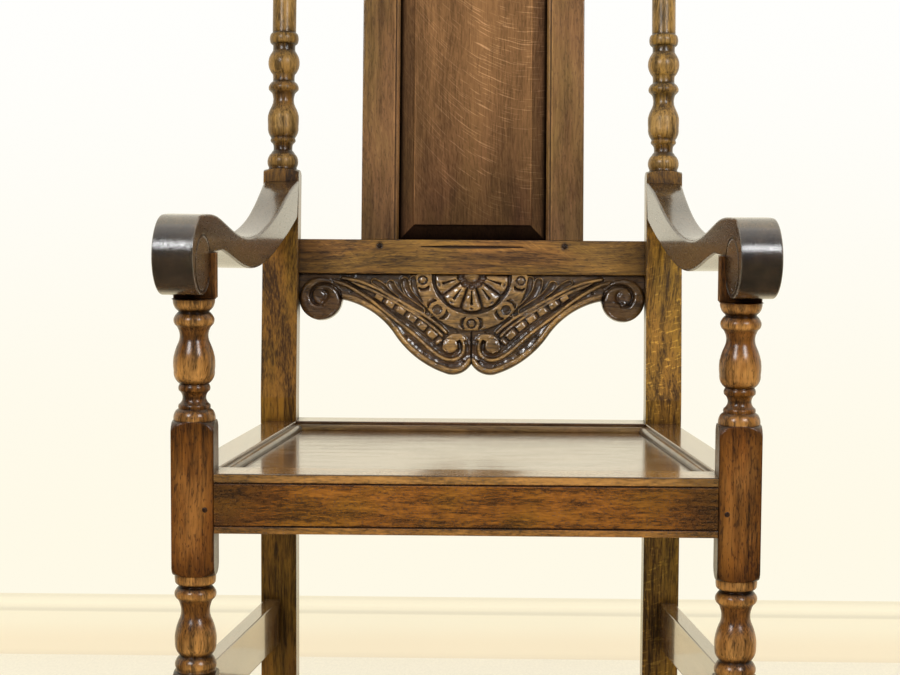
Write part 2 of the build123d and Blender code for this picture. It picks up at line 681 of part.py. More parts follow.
def left_arm():
    post_face_y = seat_depth - post_half * rake_cosine
    root_rise = (arm_root_height - bend_height - post_half * rake_sine) / rake_cosine
    post_face_y += root_rise * rake_sine
    splay = math.atan((arm_inner - post_inner) / post_face_y)
    along = (math.sin(splay), math.cos(splay), 0)
    inwards = (math.cos(splay), -math.sin(splay), 0)
    reach = post_face_y / math.cos(splay)
    crown_rise = arm_crown_height - arm_dip_height
    side_plane = Plane(origin=(-arm_inner, 0, 0), x_dir=along, z_dir=inwards)
    plan_plane = Plane(origin=(-arm_inner, 0, 0), x_dir=along, z_dir=(0, 0, 1))
    scroll_middle = (-leg_half, arm_crown_height - scroll_radius)
    top = [(a * reach, arm_dip_height + h * crown_rise) for a, h in arm_top_shares]
    top.append((scroll_middle[0], arm_crown_height))
    under = [(a * reach, arm_dip_height + h * arm_thickness) for a, h in arm_underside_shares]
    under.append((arm_underside_end_share * reach, leg_top))
    top_run = (top[1][0] - top[0][0], top[1][1] - top[0][1])
    edges = [
        Spline(*top, tangents=[top_run, (-1, 0)]),
        Line(top[-1], (top[-1][0], leg_top)),
        Line((top[-1][0], leg_top), under[-1]),
        Spline(*reversed(under)),
        Line(under[0], top[0]),
    ]
    profile = make_face(edges) + Pos(*scroll_middle) * Circle(scroll_radius)
    arm = extrude(side_plane * profile, amount=-arm_width)
    waist = [(a * reach, w * arm_width) for a, w in arm_waist_shares]
    waist_run = (waist[1][0] - waist[0][0], waist[1][1] - waist[0][1])
    beyond = arm_width + overrun
    hollow = make_face([
        Spline(*waist, tangents=[waist_run, (-1, 0)]),
        Line(waist[-1], (waist[-1][0], beyond)),
        Line((waist[-1][0], beyond), (waist[0][0], beyond)),
        Line((waist[0][0], beyond), waist[0]),
    ])
    arm -= extrude(plan_plane * hollow, amount=arm_root_height + arm_width)
    arm -= bar((-cut_reach, leg_half - arm_step_depth, seat_height), (0, leg_half + overrun, leg_top))
    arm = eased_arm(arm)
    for face_w, direction in ((0.0, -1), (arm_width, 1)):
        ring = Circle(scroll_line_radius + scroll_line_width / 2) - Circle(scroll_line_radius - scroll_line_width / 2)
        ring_middle = Pos(scroll_middle[0], scroll_middle[1] - scroll_line_drop)
        arm -= extrude(side_plane.offset(-face_w) * (ring_middle * ring), amount=direction * scroll_line_depth)
    arm -= in_back(bar((-cut_reach, -post_half, -cut_reach), (cut_reach, cut_reach, cut_reach)))
    arm -= leg_tenon(joint_gap)
    return arm + in_back(arm_tenon())


# Stretchers

def side_stretcher():
    high = side_stretcher_bottom + stretcher_height
    body = side_stretcher_bar(leg_half, seat_depth - post_half, stretcher_thickness, side_stretcher_bottom, high)
    body = fillet(body.edges().filter_by(lambda edge: edge.length > seat_run / 2), edge_round)
    return body + side_stretcher_tenons()


def cross_stretcher(shoulder, y, bottom):
    half = stretcher_thickness / 2
    body = rounded_beam(shoulder, y - half, y + half, bottom, bottom + cross_stretcher_height, edge_round)
    return body + cross_stretcher_tenons(shoulder, y, bottom)


# Pegs, dowels and screws: each is a solid and the hole that takes it

def rod(place, direction, radius, length):
    return extrude(Plane(origin=place, z_dir=direction) * Circle(radius), amount=length)


def peg(place, direction, length):
    """A peg that stands a little proud of the face at its place, with its hole."""
    start = [p - d * peg_proud for p, d in zip(place, direction)]
    pin = rod(start, direction, peg_radius, length + peg_proud)
    pin = chamfer(pin.edges().filter_by(GeomType.CIRCLE).sort_by_distance(start)[0], peg_proud / 2)
    return pin, rod(start, direction, peg_radius + peg_gap, length + peg_proud + end_gap)


def screw(place, direction, length):
    """A countersunk screw whose head lies flush at its place, with its hole."""
    plane = Plane(origin=place, z_dir=direction)
    rows = [(0.0, screw_head_radius, 0.0), (screw_head_height, screw_radius, 0.0), (length, screw_radius, 0.0)]
    hole = [(0.0, screw_head_radius + screw_gap, 0.0), (screw_head_height, screw_radius + screw_gap, 0.0),
            (length + end_gap, screw_radius + screw_gap, 0.0)]
    return plane.location * turned_solid(rows), plane.location * turned_solid(hole)


def leg_pegs():
    """Left pegs of the front rail and the side rail in the front leg."""
    front = peg((-leg_inner - peg_shoulder_distance, -leg_half, rail_peg_height), (0, 1, 0), peg_long - end_gap)
    side = peg((-leg_spread - leg_half, leg_half - peg_shoulder_distance, side_peg_height), (1, 0, 0), peg_long)
    return [front, side]


def post_pegs():
    """Left pegs of the side rail and the back rail, driven from outside and from behind."""
    side = peg((-post_spread - post_half, seat_depth - post_half + peg_shoulder_distance, side_peg_height),
               (1, 0, 0), peg_long)
    back = peg((-post_inner - peg_shoulder_distance, seat_depth + post_half, rail_peg_height),
               (0, -1, 0), peg_short)
    return [side, back]


def frame_pegs():
    """Left pegs of the cross rail and the top rail, driven from behind, in the raked frame."""
    pegs = []
    for bottom in (cross_rail_bottom, top_rail_bottom):
        place = (-post_inner - peg_shoulder_distance, post_half, bottom + back_rail_width / 2)
        pegs.append(peg(place, (0, -1, 0), peg_short))
    return pegs


def stile_pegs():
    """Left pegs that hold the stile's tenons, driven from the front, in the raked frame."""
    x = -stile_inner - stile_width / 2
    heights = (cross_rail_top - stile_peg_drop, top_rail_bottom + stile_peg_drop)
    return [peg((x, frame_front, height), (0, 1, 0), peg_short) for height in heights]


def arm_post_peg():
    """The left arm's peg in its post, in the raked frame."""
    height = arm_tenon_bottom + arm_tenon_height / 2
    return peg((-post_spread - post_half, -post_half + peg_shoulder_distance, height), (1, 0, 0), peg_long)


def arm_leg_peg():
    """The left arm's peg through the leg's tenon, driven from outside."""
    y = leg_half - arm_step_depth / 2
    slope = (arm_inner - post_inner) / seat_depth
    outer = arm_inner + arm_width - slope * y
    return peg((-outer, y, leg_top + leg_tenon_length / 2), (1, 0, 0), peg_long)


def stretcher_pegs():
    """Left pegs of the side stretcher and of the front and back stretchers."""
    side_height = side_stretcher_bottom + stretcher_height / 2
    front_height = front_stretcher_bottom + cross_stretcher_height / 2
    back_height = back_stretcher_bottom + cross_stretcher_height / 2
    return {
        "leg": [peg((-leg_spread - leg_half, leg_half - peg_shoulder_distance, side_height), (1, 0, 0), peg_long),
                peg((-leg_inner - peg_shoulder_distance, -leg_half, front_height), (0, 1, 0), peg_long)],
        "post": [peg((-post_spread - post_half, seat_depth - post_half + peg_shoulder_distance, side_height),
                     (1, 0, 0), peg_long),
                 peg((-post_inner - peg_shoulder_distance, seat_depth + post_half, back_height),
                     (0, -1, 0), peg_long)],
    }


def carving_dowels(edge):
    """Three dowels across the joint between a rail and its carved board, in the raked frame."""
    middle = carving_front + carving_thickness / 2
    pins, holes = [], []
    for x in (-dowel_spread, 0.0, dowel_spread):
        pins.append(rod((x, middle, edge - dowel_length / 2), (0, 0, 1), dowel_radius, dowel_length))
        holes.append(rod((x, middle, edge - dowel_length / 2 - end_gap), (0, 0, 1), dowel_radius + dowel_gap,
                         dowel_length + 2 * end_gap))
    return pins, holes


def cleat_screws():
    """Screws through the seat cleats into the rails."""
    height = board_bottom - cleat_height / 2
    outwards = math.radians(side_angle)
    side_direction = (-math.cos(outwards), -math.sin(outwards), 0)
    screws = []
    for share in long_cleat_screw_shares:
        screws.append(screw((share * leg_inner, seat_front + cleat_width, height), (0, -1, 0), cleat_screw_length))
        screws.append(screw((share * post_inner, seat_back - cleat_width, height), (0, 1, 0), cleat_screw_length))
    for share in side_cleat_screw_shares:
        y = seat_front + share * (seat_back - seat_front)
        x = -recess_x(y) + cleat_width * side_stretch
        screws.append(screw((x, y, height), side_direction, cleat_screw_length))
        screws.append(screw((-x, y, height), (-side_direction[0], side_direction[1], 0), cleat_screw_length))
    return screws


def corner_screws(y_corner, inwards):
    """Two screws through a left corner block, one into the cross-wise rail and one into the side rail."""
    height = rail_bottom + corner_block_drop + corner_block_height / 2
    along = block_screw_share * corner_block_leg
    across = corner_block_leg - along
    first = screw((-recess_x(y_corner) + along, y_corner + inwards * across, height),
                  (0, -inwards, 0), block_screw_length + across / 2)
    second = screw((-recess_x(y_corner + inwards * along) + across, y_corner + inwards * along, height),
                   (-1, 0, 0), block_screw_length + across / 2)
    return [first, second]


# Assembly

pieces = {}
pieces["front_leg_left"] = front_leg()
pieces["back_post_left"] = back_post()
pieces["arm_left"] = left_arm()
pieces["side_rail_left"] = side_rail()
pieces["side_stretcher_left"] = side_stretcher()
pieces["inner_stile_left"] = in_back(inner_stile())
pieces["corner_block_front_left"] = corner_block(seat_front, 1)
pieces["corner_block_back_left"] = corner_block(seat_back, -1)
pieces["front_rail"] = front_rail()
pieces["back_rail"] = back_rail()
pieces["seat_board"] = seat_board()
pieces["cross_rail"] = in_back(cross_rail())
pieces["top_rail"] = in_back(frame_rail(top_rail_bottom, False))
pieces["back_panel"] = in_back(back_panel())
pieces["carved_apron"] = in_back(carved_board(apron_depth, apron_volute_radius, cross_rail_bottom, False))
pieces["carved_crest"] = in_back(carved_board(crest_depth, crest_volute_radius, top_rail_top, True))
pieces["front_stretcher"] = cross_stretcher(leg_inner, 0.0, front_stretcher_bottom)
pieces["back_stretcher"] = cross_stretcher(post_inner, seat_depth, back_stretcher_bottom)
for name, strip in seat_mouldings().items():
    pieces["seat_moulding_" + name] = strip
for name, strip in recess_ring(cleat_width, board_bottom - cleat_height, board_bottom).items():
    pieces["seat_cleat_" + name] = strip

groups = {"leg_pegs": [], "post_pegs": [], "frame_pegs": [], "stile_pegs": [], "arm_pegs": [],
          "stretcher_pegs": [], "apron_dowels": [], "crest_dowels": [], "cleat_screws": [], "corner_screws": []}


def drill(group, pins, left_names, shared_names):
    """Bore the holes in the left-hand pieces and on both sides of the shared ones, and keep the pins."""
    for pin, hole in pins:
        groups[group] += [pin, other_side(pin)]
        for name in left_names:
            pieces[name] -= hole
        for name in shared_names:
            pieces[name] = pieces[name] - hole - other_side(hole)


def raked(pins):
    return [(in_back(pin), in_back(hole)) for pin, hole in pins]


front_pin, side_pin = leg_pegs()
drill("leg_pegs", [front_pin], ["front_leg_left"], ["front_rail"])
drill("leg_pegs", [side_pin], ["front_leg_left", "side_rail_left"], [])
side_pin, back_pin = post_pegs()
drill("post_pegs", [side_pin], ["back_post_left", "side_rail_left"], [])
drill("post_pegs", [back_pin], ["back_post_left"], ["back_rail"])
cross_pin, top_pin = raked(frame_pegs())
drill("frame_pegs", [cross_pin], ["back_post_left"], ["cross_rail"])
drill("frame_pegs", [top_pin], ["back_post_left"], ["top_rail"])
low_pin, high_pin = raked(stile_pegs())
drill("stile_pegs", [low_pin], ["inner_stile_left"], ["cross_rail"])
drill("stile_pegs", [high_pin], ["inner_stile_left"], ["top_rail"])
drill("arm_pegs", raked([arm_post_peg()]), ["back_post_left", "arm_left"], [])
drill("arm_pegs", [arm_leg_peg()], ["front_leg_left", "arm_left"], [])
side_pin, front_pin = stretcher_pegs()["leg"]
drill("stretcher_pegs", [side_pin], ["front_leg_left", "side_stretcher_left"], [])
drill("stretcher_pegs", [front_pin], ["front_leg_left"], ["front_stretcher"])
side_pin, back_pin = stretcher_pegs()["post"]
drill("stretcher_pegs", [side_pin], ["back_post_left", "side_stretcher_left"], [])
drill("stretcher_pegs", [back_pin], ["back_post_left"], ["back_stretcher"])
front_screws = corner_screws(seat_front, 1)
back_screws = corner_screws(seat_back, -1)
drill("corner_screws", front_screws[:1], ["corner_block_front_left"], ["front_rail"])
drill("corner_screws", front_screws[1:], ["corner_block_front_left", "side_rail_left"], [])
drill("corner_screws", back_screws[:1], ["corner_block_back_left"], ["back_rail"])
drill("corner_screws", back_screws[1:], ["corner_block_back_left", "side_rail_left"], [])

for name in [name for name in pieces if name.endswith("_left") and "seat_" not in name]:
    pieces[name.replace("_left", "_right")] = other_side(pieces[name])

for pin, hole in cleat_screws():
    groups["cleat_screws"].append(pin)
    for name in ("seat_cleat_front", "seat_cleat_back", "seat_cleat_left", "seat_cleat_right",
                 "front_rail", "back_rail", "side_rail_left", "side_rail_right"):
        if pieces[name].bounding_box().overlaps(hole.bounding_box()):
            pieces[name] -= hole

for group, board, rail, edge in (("apron_dowels", "carved_apron", "cross_rail", cross_rail_bottom),
                                 ("crest_dowels", "carved_crest", "top_rail", top_rail_top)):
    pins, holes = carving_dowels(edge)
    groups[group] += [in_back(pin) for pin in pins]
    for hole in holes:
        pieces[board] -= in_back(hole)
        pieces[rail] -= in_back(hole)

for name, pins in groups.items():
    pieces[name] = Compound([solid for pin in pins for solid in pin.solids()])

# Set the origin at the middle of the footprint box, on the floor, and write each piece
box = Compound([solid for piece in pieces.values() for solid in piece.solids()]).bounding_box()
shift = Pos(-(box.min.X + box.max.X) / 2, -(box.min.Y + box.max.Y) / 2, -box.min.Z)
os.makedirs("parts", exist_ok=True)
for name, piece in pieces.items():
    solids = (shift * piece).solids()
    placed = solids[0] if len(solids) == 1 else Compound(solids)
    export_step(placed, "parts/" + name + ".step")
print("pieces", len(pieces))
print("size", box.size)
print("front legs' axes lie at Y =", shift.position.Y, "and the floor at Z =", shift.position.Z)
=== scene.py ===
# %% [markdown]
# # A carved and turned oak carver chair
# The chair is joined from about thirty pieces of oak: turned legs, a panelled back, a carved scroll board.
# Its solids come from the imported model, so this script only dresses them: it adds the carving, gives every
# piece its wood and wax, and lights the result as in a plain studio. Lengths are in metres, except in the
# cells and tables that say millimetres.

# %% Load the frame
import bpy
import functools
import math
import numpy as np
from mathutils import Matrix, Vector


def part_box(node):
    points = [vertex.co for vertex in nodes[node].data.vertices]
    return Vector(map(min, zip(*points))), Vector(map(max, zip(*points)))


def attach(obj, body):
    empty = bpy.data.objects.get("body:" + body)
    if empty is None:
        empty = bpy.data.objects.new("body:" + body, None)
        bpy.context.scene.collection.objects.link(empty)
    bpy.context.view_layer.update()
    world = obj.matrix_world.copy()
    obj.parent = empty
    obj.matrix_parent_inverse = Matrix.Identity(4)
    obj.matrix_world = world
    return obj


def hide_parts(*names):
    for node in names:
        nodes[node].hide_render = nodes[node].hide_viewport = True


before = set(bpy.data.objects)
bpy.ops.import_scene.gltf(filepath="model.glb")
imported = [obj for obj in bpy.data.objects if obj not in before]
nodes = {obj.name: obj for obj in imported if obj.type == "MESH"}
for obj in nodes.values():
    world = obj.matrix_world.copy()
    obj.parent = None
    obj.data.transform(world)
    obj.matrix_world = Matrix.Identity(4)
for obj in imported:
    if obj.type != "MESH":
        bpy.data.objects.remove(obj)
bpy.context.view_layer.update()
scene = bpy.context.scene
scene.view_settings.view_transform = "Standard"
leg_low, leg_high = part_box("front_leg_left")
leg_axis_y = (leg_low.y + leg_high.y) / 2
print("nodes", len(nodes), "front legs' axes at y =", round(leg_axis_y, 4))

# %% [markdown]
# ## The camera
# The photograph was taken from 2.4 m in front of the chair, at about the height of its arms' scrolls,
# looking a little down. The numbers were fitted to the straight edges of the frame. A camera matrix built
# from its own right, up and backward directions keeps the small roll of the picture.

# %% Camera
focal_pixels, picture_width, film_width = 2332, 900, 36
camera_distance, camera_height, camera_x = 2.407, 0.8304, 0.0325
yaw, pitch, roll = -0.0207, 0.0989, 0.0054
ahead = Vector((math.sin(yaw), math.cos(yaw), 0))
aside = Vector((math.cos(yaw), -math.sin(yaw), 0))
above = Vector((0, 0, 1))
looking = ahead * math.cos(pitch) - above * math.sin(pitch)
crown = above * math.cos(pitch) + ahead * math.sin(pitch)
picture_right = aside * math.cos(roll) + crown * math.sin(roll)
picture_up = crown * math.cos(roll) - aside * math.sin(roll)
camera_data = bpy.data.cameras.new("studio_camera")
camera_data.sensor_width = film_width
camera_data.lens = focal_pixels / picture_width * film_width
camera = bpy.data.objects.new("studio_camera", camera_data)
camera_matrix = Matrix((picture_right, picture_up, -looking)).transposed().to_4x4()
camera_matrix.translation = (camera_x, leg_axis_y - camera_distance, camera_height)
camera.matrix_world = camera_matrix
scene.collection.objects.link(camera)
bpy.context.scene.camera = camera
print("lens", round(camera_data.lens, 1), "mm")

# %% [markdown]
# ## Wires and boxes
# A node tree is a small machine of boxes and wires. Here a wire is a Python object, and a sum or product of
# wires adds the math nodes that work it out. So a formula in this file reads like a formula, and each
# material below reads as a list of steps.

# %% Wires
class Wire:
    """A value on its way through a node tree."""

    def __init__(self, tree, socket):
        self.tree, self.socket = tree, socket

    def __add__(self, other):
        return maths("ADD", self, other)

    def __sub__(self, other):
        return maths("SUBTRACT", self, other)

    def __rsub__(self, other):
        return maths("SUBTRACT", other, self)

    def __mul__(self, other):
        return maths("MULTIPLY", self, other)

    def __truediv__(self, other):
        return maths("DIVIDE", self, other)

    def __rtruediv__(self, other):
        return maths("DIVIDE", other, self)

    def __abs__(self):
        return maths("ABSOLUTE", self)


def place(tree, kind, inputs=(), **settings):
    """Add a node, set its options and fill its inputs with values or wires."""
    node = tree.nodes.new(kind if "Node" in kind else "ShaderNode" + kind)
    for name, value in settings.items():
        setattr(node, name, value)
    for key, value in dict(inputs).items():
        socket = node.inputs[key]
        if isinstance(value, Wire):
            tree.links.new(value.socket, socket)
        else:
            socket.default_value = (*value, 1) if socket.type == "RGBA" else value
    return node


def wire(tree, kind, inputs=(), output=0, **settings):
    """Add a node of which one output is used, and give that output."""
    return Wire(tree, place(tree, kind, inputs, **settings).outputs[output])


def wires(node):
    """All the outputs of a node, by name."""
    return {socket.name: Wire(node.id_data, socket) for socket in node.outputs if socket.enabled}


def maths(operation, *values):
    tree = next(value.tree for value in values if isinstance(value, Wire))
    return wire(tree, "Math", enumerate(values), operation=operation)


def vector_maths(operation, *vectors):
    output = 0 if operation == "ADD" else "Value"
    return wire(vectors[0].tree, "VectorMath", enumerate(vectors), output, operation=operation)


def split(vector):
    return wires(place(vector.tree, "SeparateXYZ", {0: vector})).values()


def combine(x, y, z=0.0):
    return wire(x.tree, "CombineXYZ", {0: x, 1: y, 2: z})

# %% [markdown]
# ## Colours, spans and noise
# Four more boxes do most of the painting: one that blends or tints colours, one that stretches a span of
# values to another span, one that reads a level from a list of stops, and noise that is stretched along the
# grain.

# %% Colours, spans and noise
def mix(share, first, second, blend="MIX"):
    tree = next(value.tree for value in (share, first, second) if isinstance(value, Wire))
    return wire(tree, "Mix", {0: share, 6: first, 7: second}, 2, data_type="RGBA", blend_type=blend)


def tint(colour, tone, share=1.0):
    """Multiply a colour by a tone, for a share of the way."""
    return mix(share, colour, tone, "MULTIPLY")


def ramp(value, start, end, low=0.0, high=1.0):
    """Stretch a span of values to another span, clamped and eased at both ends."""
    inputs = {"Value": value, "From Min": start, "From Max": end, "To Min": low, "To Max": high}
    return wire(value.tree, "MapRange", inputs, interpolation_type="SMOOTHSTEP")


def stops(value, points):
    """A level read along a span from (position in millimetres, level) stops."""
    low, high = points[0][0], points[-1][0]
    share = wire(value.tree, "MapRange", {"Value": value, "From Min": low / 1000, "From Max": high / 1000})
    scale = place(value.tree, "ValToRGB", {0: share})
    elements = scale.color_ramp.elements
    for position, level in points[1:-1]:
        elements.new((position - low) / (high - low)).color = (level, level, level, 1)
    for element, (_, level) in ((elements[0], points[0]), (elements[-1], points[-1])):
        element.color = (level, level, level, 1)
    return Wire(value.tree, scale.outputs[0])


def stretched(vector, scale, offset=(0, 0, 0), turn=(0, 0, 0)):
    inputs = {"Vector": vector, "Scale": scale, "Location": offset, "Rotation": turn}
    return wire(vector.tree, "Mapping", inputs)


def noise(vector, stretch, detail=1.0, rough=0.5, offset=(0, 0, 0), scale=1.0):
    inputs = {"Scale": scale, "Detail": detail, "Roughness": rough}
    return wire(vector.tree, "TexNoise", {"Vector": stretched(vector, stretch, offset), **inputs}, "Fac")

# %% [markdown]
# ## Node groups and empty materials
# An effect that several materials share is a node group, with named inputs and outputs of its own. Every
# material starts from the object coordinates, which stay the same on a piece however it is turned.

# %% Node groups and empty materials
def new_group(name, inputs, outputs, family="Shader"):
    """An empty node group: its tree, its input wires, and its output node's sockets."""
    tree = bpy.data.node_groups.new(name, family + "NodeTree")
    for socket, value in inputs.items():
        bare = isinstance(value, str)
        kind = value if bare else {tuple: "Color", float: "Float", int: "Int"}[type(value)]
        item = tree.interface.new_socket(socket, in_out="INPUT", socket_type="NodeSocket" + kind)
        if not bare:
            item.default_value = (*value, 1) if kind == "Color" else value
    for socket, kind in outputs.items():
        tree.interface.new_socket(socket, in_out="OUTPUT", socket_type="NodeSocket" + kind)
    return tree, wires(tree.nodes.new("NodeGroupInput")), tree.nodes.new("NodeGroupOutput").inputs


def give(made, **results):
    for name, result in results.items():
        result.tree.links.new(result.socket, made[name])


def new_material(name):
    """An empty node material, and its object coordinates as a wire."""
    material = bpy.data.materials.new(name)
    material.use_nodes = True
    material.node_tree.nodes.clear()
    return material, wire(material.node_tree, "TexCoord", output="Object")

# %% [markdown]
# ## Oak, as a node group
# Fumed and waxed oak shows four things at this distance: broad bands from the growth rings, fine streaks,
# short dark pore lines, and a slow change from dark to golden patches where hands and dusters have worn the
# stain. All of them are noise that is stretched along the grain, so the group expects a vector whose Z runs
# along it.

# %% Oak group
oak_tree, given, made = new_group("oak_figure", {
    "Vector": "Vector", "Dark": (0.05, 0.02, 0.008), "Light": (0.2, 0.09, 0.03), "Band Width": 0.016,
    "Contrast": 1.0, "Pores": 0.6, "Patches": 0.5, "Sway": 0.03},
    {"Color": "Color", "Height": "Float", "Roughness": "Float"})
spot = given["Vector"]
sway = (noise(spot, (9, 9, 4)) - 0.5) * given["Sway"]
swayed = vector_maths("ADD", spot, combine(sway, sway))
bands = noise(swayed, (1, 1, 0.045), 2.0, 0.55, scale=1.0 / given["Band Width"])
streaks = noise(swayed, (430, 430, 30), 2.0, 0.6)
fibres = noise(swayed, (880, 880, 60))
pore_noise = noise(swayed, (640, 640, 150), offset=(3.1, 1.7, 0.4))
pore_share = ramp(pore_noise - (bands - 0.5) * 0.25, 0.56, 0.66) * given["Pores"]
patches = noise(spot, (11, 11, 6), 2.0, 0.6, (5.3, 2.2, 1.9))
tone = ((bands - 0.5) * 1.7 + (streaks - 0.5) * 1.5 + (fibres - 0.5)) * given["Contrast"]
tone = tone + (patches - 0.5) * (given["Patches"] * 2.4) + 0.5
wood = mix(wire(oak_tree, "Clamp", {0: tone}), given["Dark"], given["Light"])
hue = ramp(noise(spot, (26, 26, 7), 2.0, 0.5, (1.3, 8.2, 4.1)), 0.35, 0.65)
redder, greener = (1.10, 0.93, 1.10), (0.97, 1.06, 0.78)
wood = tint(wood, mix(hue, redder, greener), 0.5)
wood = tint(wood, (0.22, 0.17, 0.15), pore_share)
give(made, Color=wood, Height=fibres * 0.35 - pore_share, Roughness=patches * 0.14 + 0.26 + pore_share * 0.15)
print("oak group nodes", len(oak_tree.nodes))

# %% [markdown]
# ## Medullary rays
# A board sawn through the middle of the log shows the rays as thin pale curved streaks that cross the grain.
# They lean more and more towards one side of the board. Bending the height by the square of the distance
# from one edge makes straight noise streaks follow such curves.

# %% Ray group
ray_tree, given, made = new_group("ray_fleck", {
    "Vector": "Vector", "Level Edge": 0.071, "Bend": 3.5, "Thickness": 0.0026, "Length": 0.03, "Amount": 0.5},
    {"Mask": "Float"})
spot = given["Vector"]
x, y, z = split(spot)
across = x - given["Level Edge"]
bent = z - given["Bend"] * (across * across) + noise(spot, (30, 30, 30)) * 0.006
ray_vector = combine(x / given["Length"], y / given["Length"], bent / given["Thickness"])
ray_lines = ramp(noise(ray_vector, (1, 1, 1), 1.0, 0.4), 0.58, 0.72)
ray_zone = ramp(noise(spot, (16, 16, 9), offset=(2.0, 0.0, 7.0)), 0.30, 0.55)
give(made, Mask=ray_lines * ray_zone * given["Amount"])
print("ray group nodes", len(ray_tree.nodes))

# %% [markdown]
# ## Old wax, painted shade and wear
# Every quirk and corner is darkened, partly for old wax and dust and partly as painted shade, while raised
# parts are rubbed to a golden brown. Ambient occlusion finds the corners; it also thins the clear coat there,
# which paints shade into the reflections. For the rubbed parts each material brings its own mask.

# %% Wear group
wear_shade_tree, given, made = new_group("wear_and_painted_shade", {
    "Wood": (0.1, 0.05, 0.02), "Worn": (0.32, 0.16, 0.055), "Wear": 0.0, "Grime And Shade": 0.8, "Reach": 0.014,
    "Mean": 0.1}, {"Color": "Color", "Open": "Float"})
shelter = wire(wear_shade_tree, "AmbientOcclusion", {"Distance": given["Reach"]}, "AO", samples=4)
opened = ramp(shelter, 0.45, 0.95)
figure_light = maths("POWER", wire(wear_shade_tree, "RGBToBW", {0: given["Wood"]}) / given["Mean"], 0.75)
rubbed = mix(given["Wear"], given["Wood"], tint(given["Worn"], figure_light))
# Darker where ambient occlusion finds a corner: old wax and dust, and painted shade.
give(made, Color=tint(rubbed, (0.16, 0.12, 0.10), (1.0 - opened) * given["Grime And Shade"]), Open=opened)
print("wear group nodes", len(wear_shade_tree.nodes))

# %% [markdown]
# ## One recipe for every oak piece
# The shader itself is always the same: brown wood under a clear coat of wax. Only the direction of the
# grain, the two browns and the masks differ, so one function builds each material from them. The clear coat
# is what makes level surfaces mirror the pale wall when they are seen nearly edge-on. A mask is a function
# that takes the coordinates and gives a share from 0 to 1.

# %% Oak materials
rake = math.radians(8.5)
quarter_turn = math.radians(90)
grain_turns = {
    "up": (0, 0, 0), "raked": (rake, 0, 0), "across": (0, quarter_turn, 0), "deep": (quarter_turn, 0, 0)}
grain_axes = {
    "up": (0, 0, 1), "raked": (0, math.sin(rake), math.cos(rake)), "across": (1, 0, 0), "deep": (0, 1, 0)}
brightness_weights = (0.213, 0.715, 0.072)
# The first tone below lightens edges, for wear and as a painted highlight; the last darkens old wax and
# painted shade.
worn_edge_highlight, end_grain_tone, wax_and_shade_tone = (1.9, 1.8, 1.7), (0.32, 0.36, 0.45), (0.10, 0.08, 0.08)
# The second tone on the next line lightens the painted highlight lines on arrises.
ray_tone, arris_highlight_tone = (2.1, 2.3, 2.7), (1.7, 1.7, 1.7)


def oak(name, grain, dark, light, band=0.016, contrast=1.0, pores=0.6, patches=0.5, sway=0.03, shorten=1.0,
        offset=(0, 0, 0), rays=None, ray_area=None, lines=None, highlight_lines=None, edges=0.6, ease=0.0016,
        wear=None, worn=(0.32, 0.16, 0.055), dulling=0.4, grime_and_shade=0.8, reach=0.014, gloss=0.0, sheen=0.4,
        coat=0.9, ior=1.5, haze=0.10, wave=0.08, film_scale=(45, 45, 9), brushed=0.0):
    """A waxed oak material; rays, lines, highlight_lines and wear may stay away."""
    material, where = new_material(name)
    tree = where.tree
    along = stretched(stretched(where, (1, 1, 1), offset, grain_turns[grain]), (1, 1, shorten))
    figure = wires(place(tree, "Group", {
        "Vector": along, "Dark": dark, "Light": light, "Band Width": band, "Contrast": contrast,
        "Pores": pores, "Patches": patches, "Sway": sway}, node_tree=oak_tree))
    rounded = wire(tree, "Bevel", {"Radius": ease}, samples=4)
    flat = wire(tree, "NewGeometry", output="Normal")
    # Edges found by the bevel normal are lightened: partly wear, partly a painted highlight.
    arris = ramp(vector_maths("DOT_PRODUCT", rounded, flat), 0.985, 0.90, 0.0, edges)
    end_grain = ramp(abs(vector_maths("DOT_PRODUCT", flat, grain_axes[grain])), 0.45, 0.9, 0.0, 0.75)
    colour = tint(tint(figure["Color"], worn_edge_highlight, arris), end_grain_tone, end_grain)
    # The lines masks darken old wax and dark marks, and also paint shade and shadow where they say so.
    if lines:
        colour = tint(colour, wax_and_shade_tone, lines(where))
    mean = sum(weight * (a + b) / 2 for weight, a, b in zip(brightness_weights, dark, light))
    rubbing = {"Wear": wear(where)} if wear else {}
    waxed = wires(place(tree, "Group", {"Wood": colour, "Worn": worn, "Grime And Shade": grime_and_shade, "Reach": reach,
                                        "Mean": mean, **rubbing}, node_tree=wear_shade_tree))
    surface = waxed["Color"]
    if rays:
        fleck = wire(tree, "Group", {"Vector": along, **rays}, node_tree=ray_tree)
        surface = tint(surface, ray_tone, fleck * ray_area(where) if ray_area else fleck)
    # Painted highlights: pale lines along arrises.
    if highlight_lines:
        surface = tint(surface, arris_highlight_tone, highlight_lines(where))
    relief = wire(tree, "Bump", {"Height": figure["Height"], "Strength": 0.25, "Distance": 0.0004,
                                 "Normal": rounded})
    film = wire(tree, "Bump", {"Height": noise(along, film_scale), "Strength": wave, "Distance": 0.002,
                               "Normal": rounded})
    if brushed:
        scratches = noise(where, (1700, 70, 70), 2.0, 0.7) * end_grain
        film = wire(tree, "Bump", {"Height": scratches, "Strength": brushed, "Distance": 0.001,
                                   "Normal": film})
    # The coat thins where ambient occlusion finds a corner: painted shade on the reflections.
    polish = waxed["Open"] * coat
    if wear:
        polish = polish * (1.0 - rubbing["Wear"] * dulling)
    shader = wire(tree, "BsdfPrincipled", {
        "Base Color": surface, "Roughness": figure["Roughness"] - gloss, "Normal": relief,
        "Specular IOR Level": sheen, "Coat Weight": polish, "Coat Roughness": haze, "Coat IOR": ior,
        "Coat Normal": film})
    place(tree, "OutputMaterial", {0: shader})
    return material


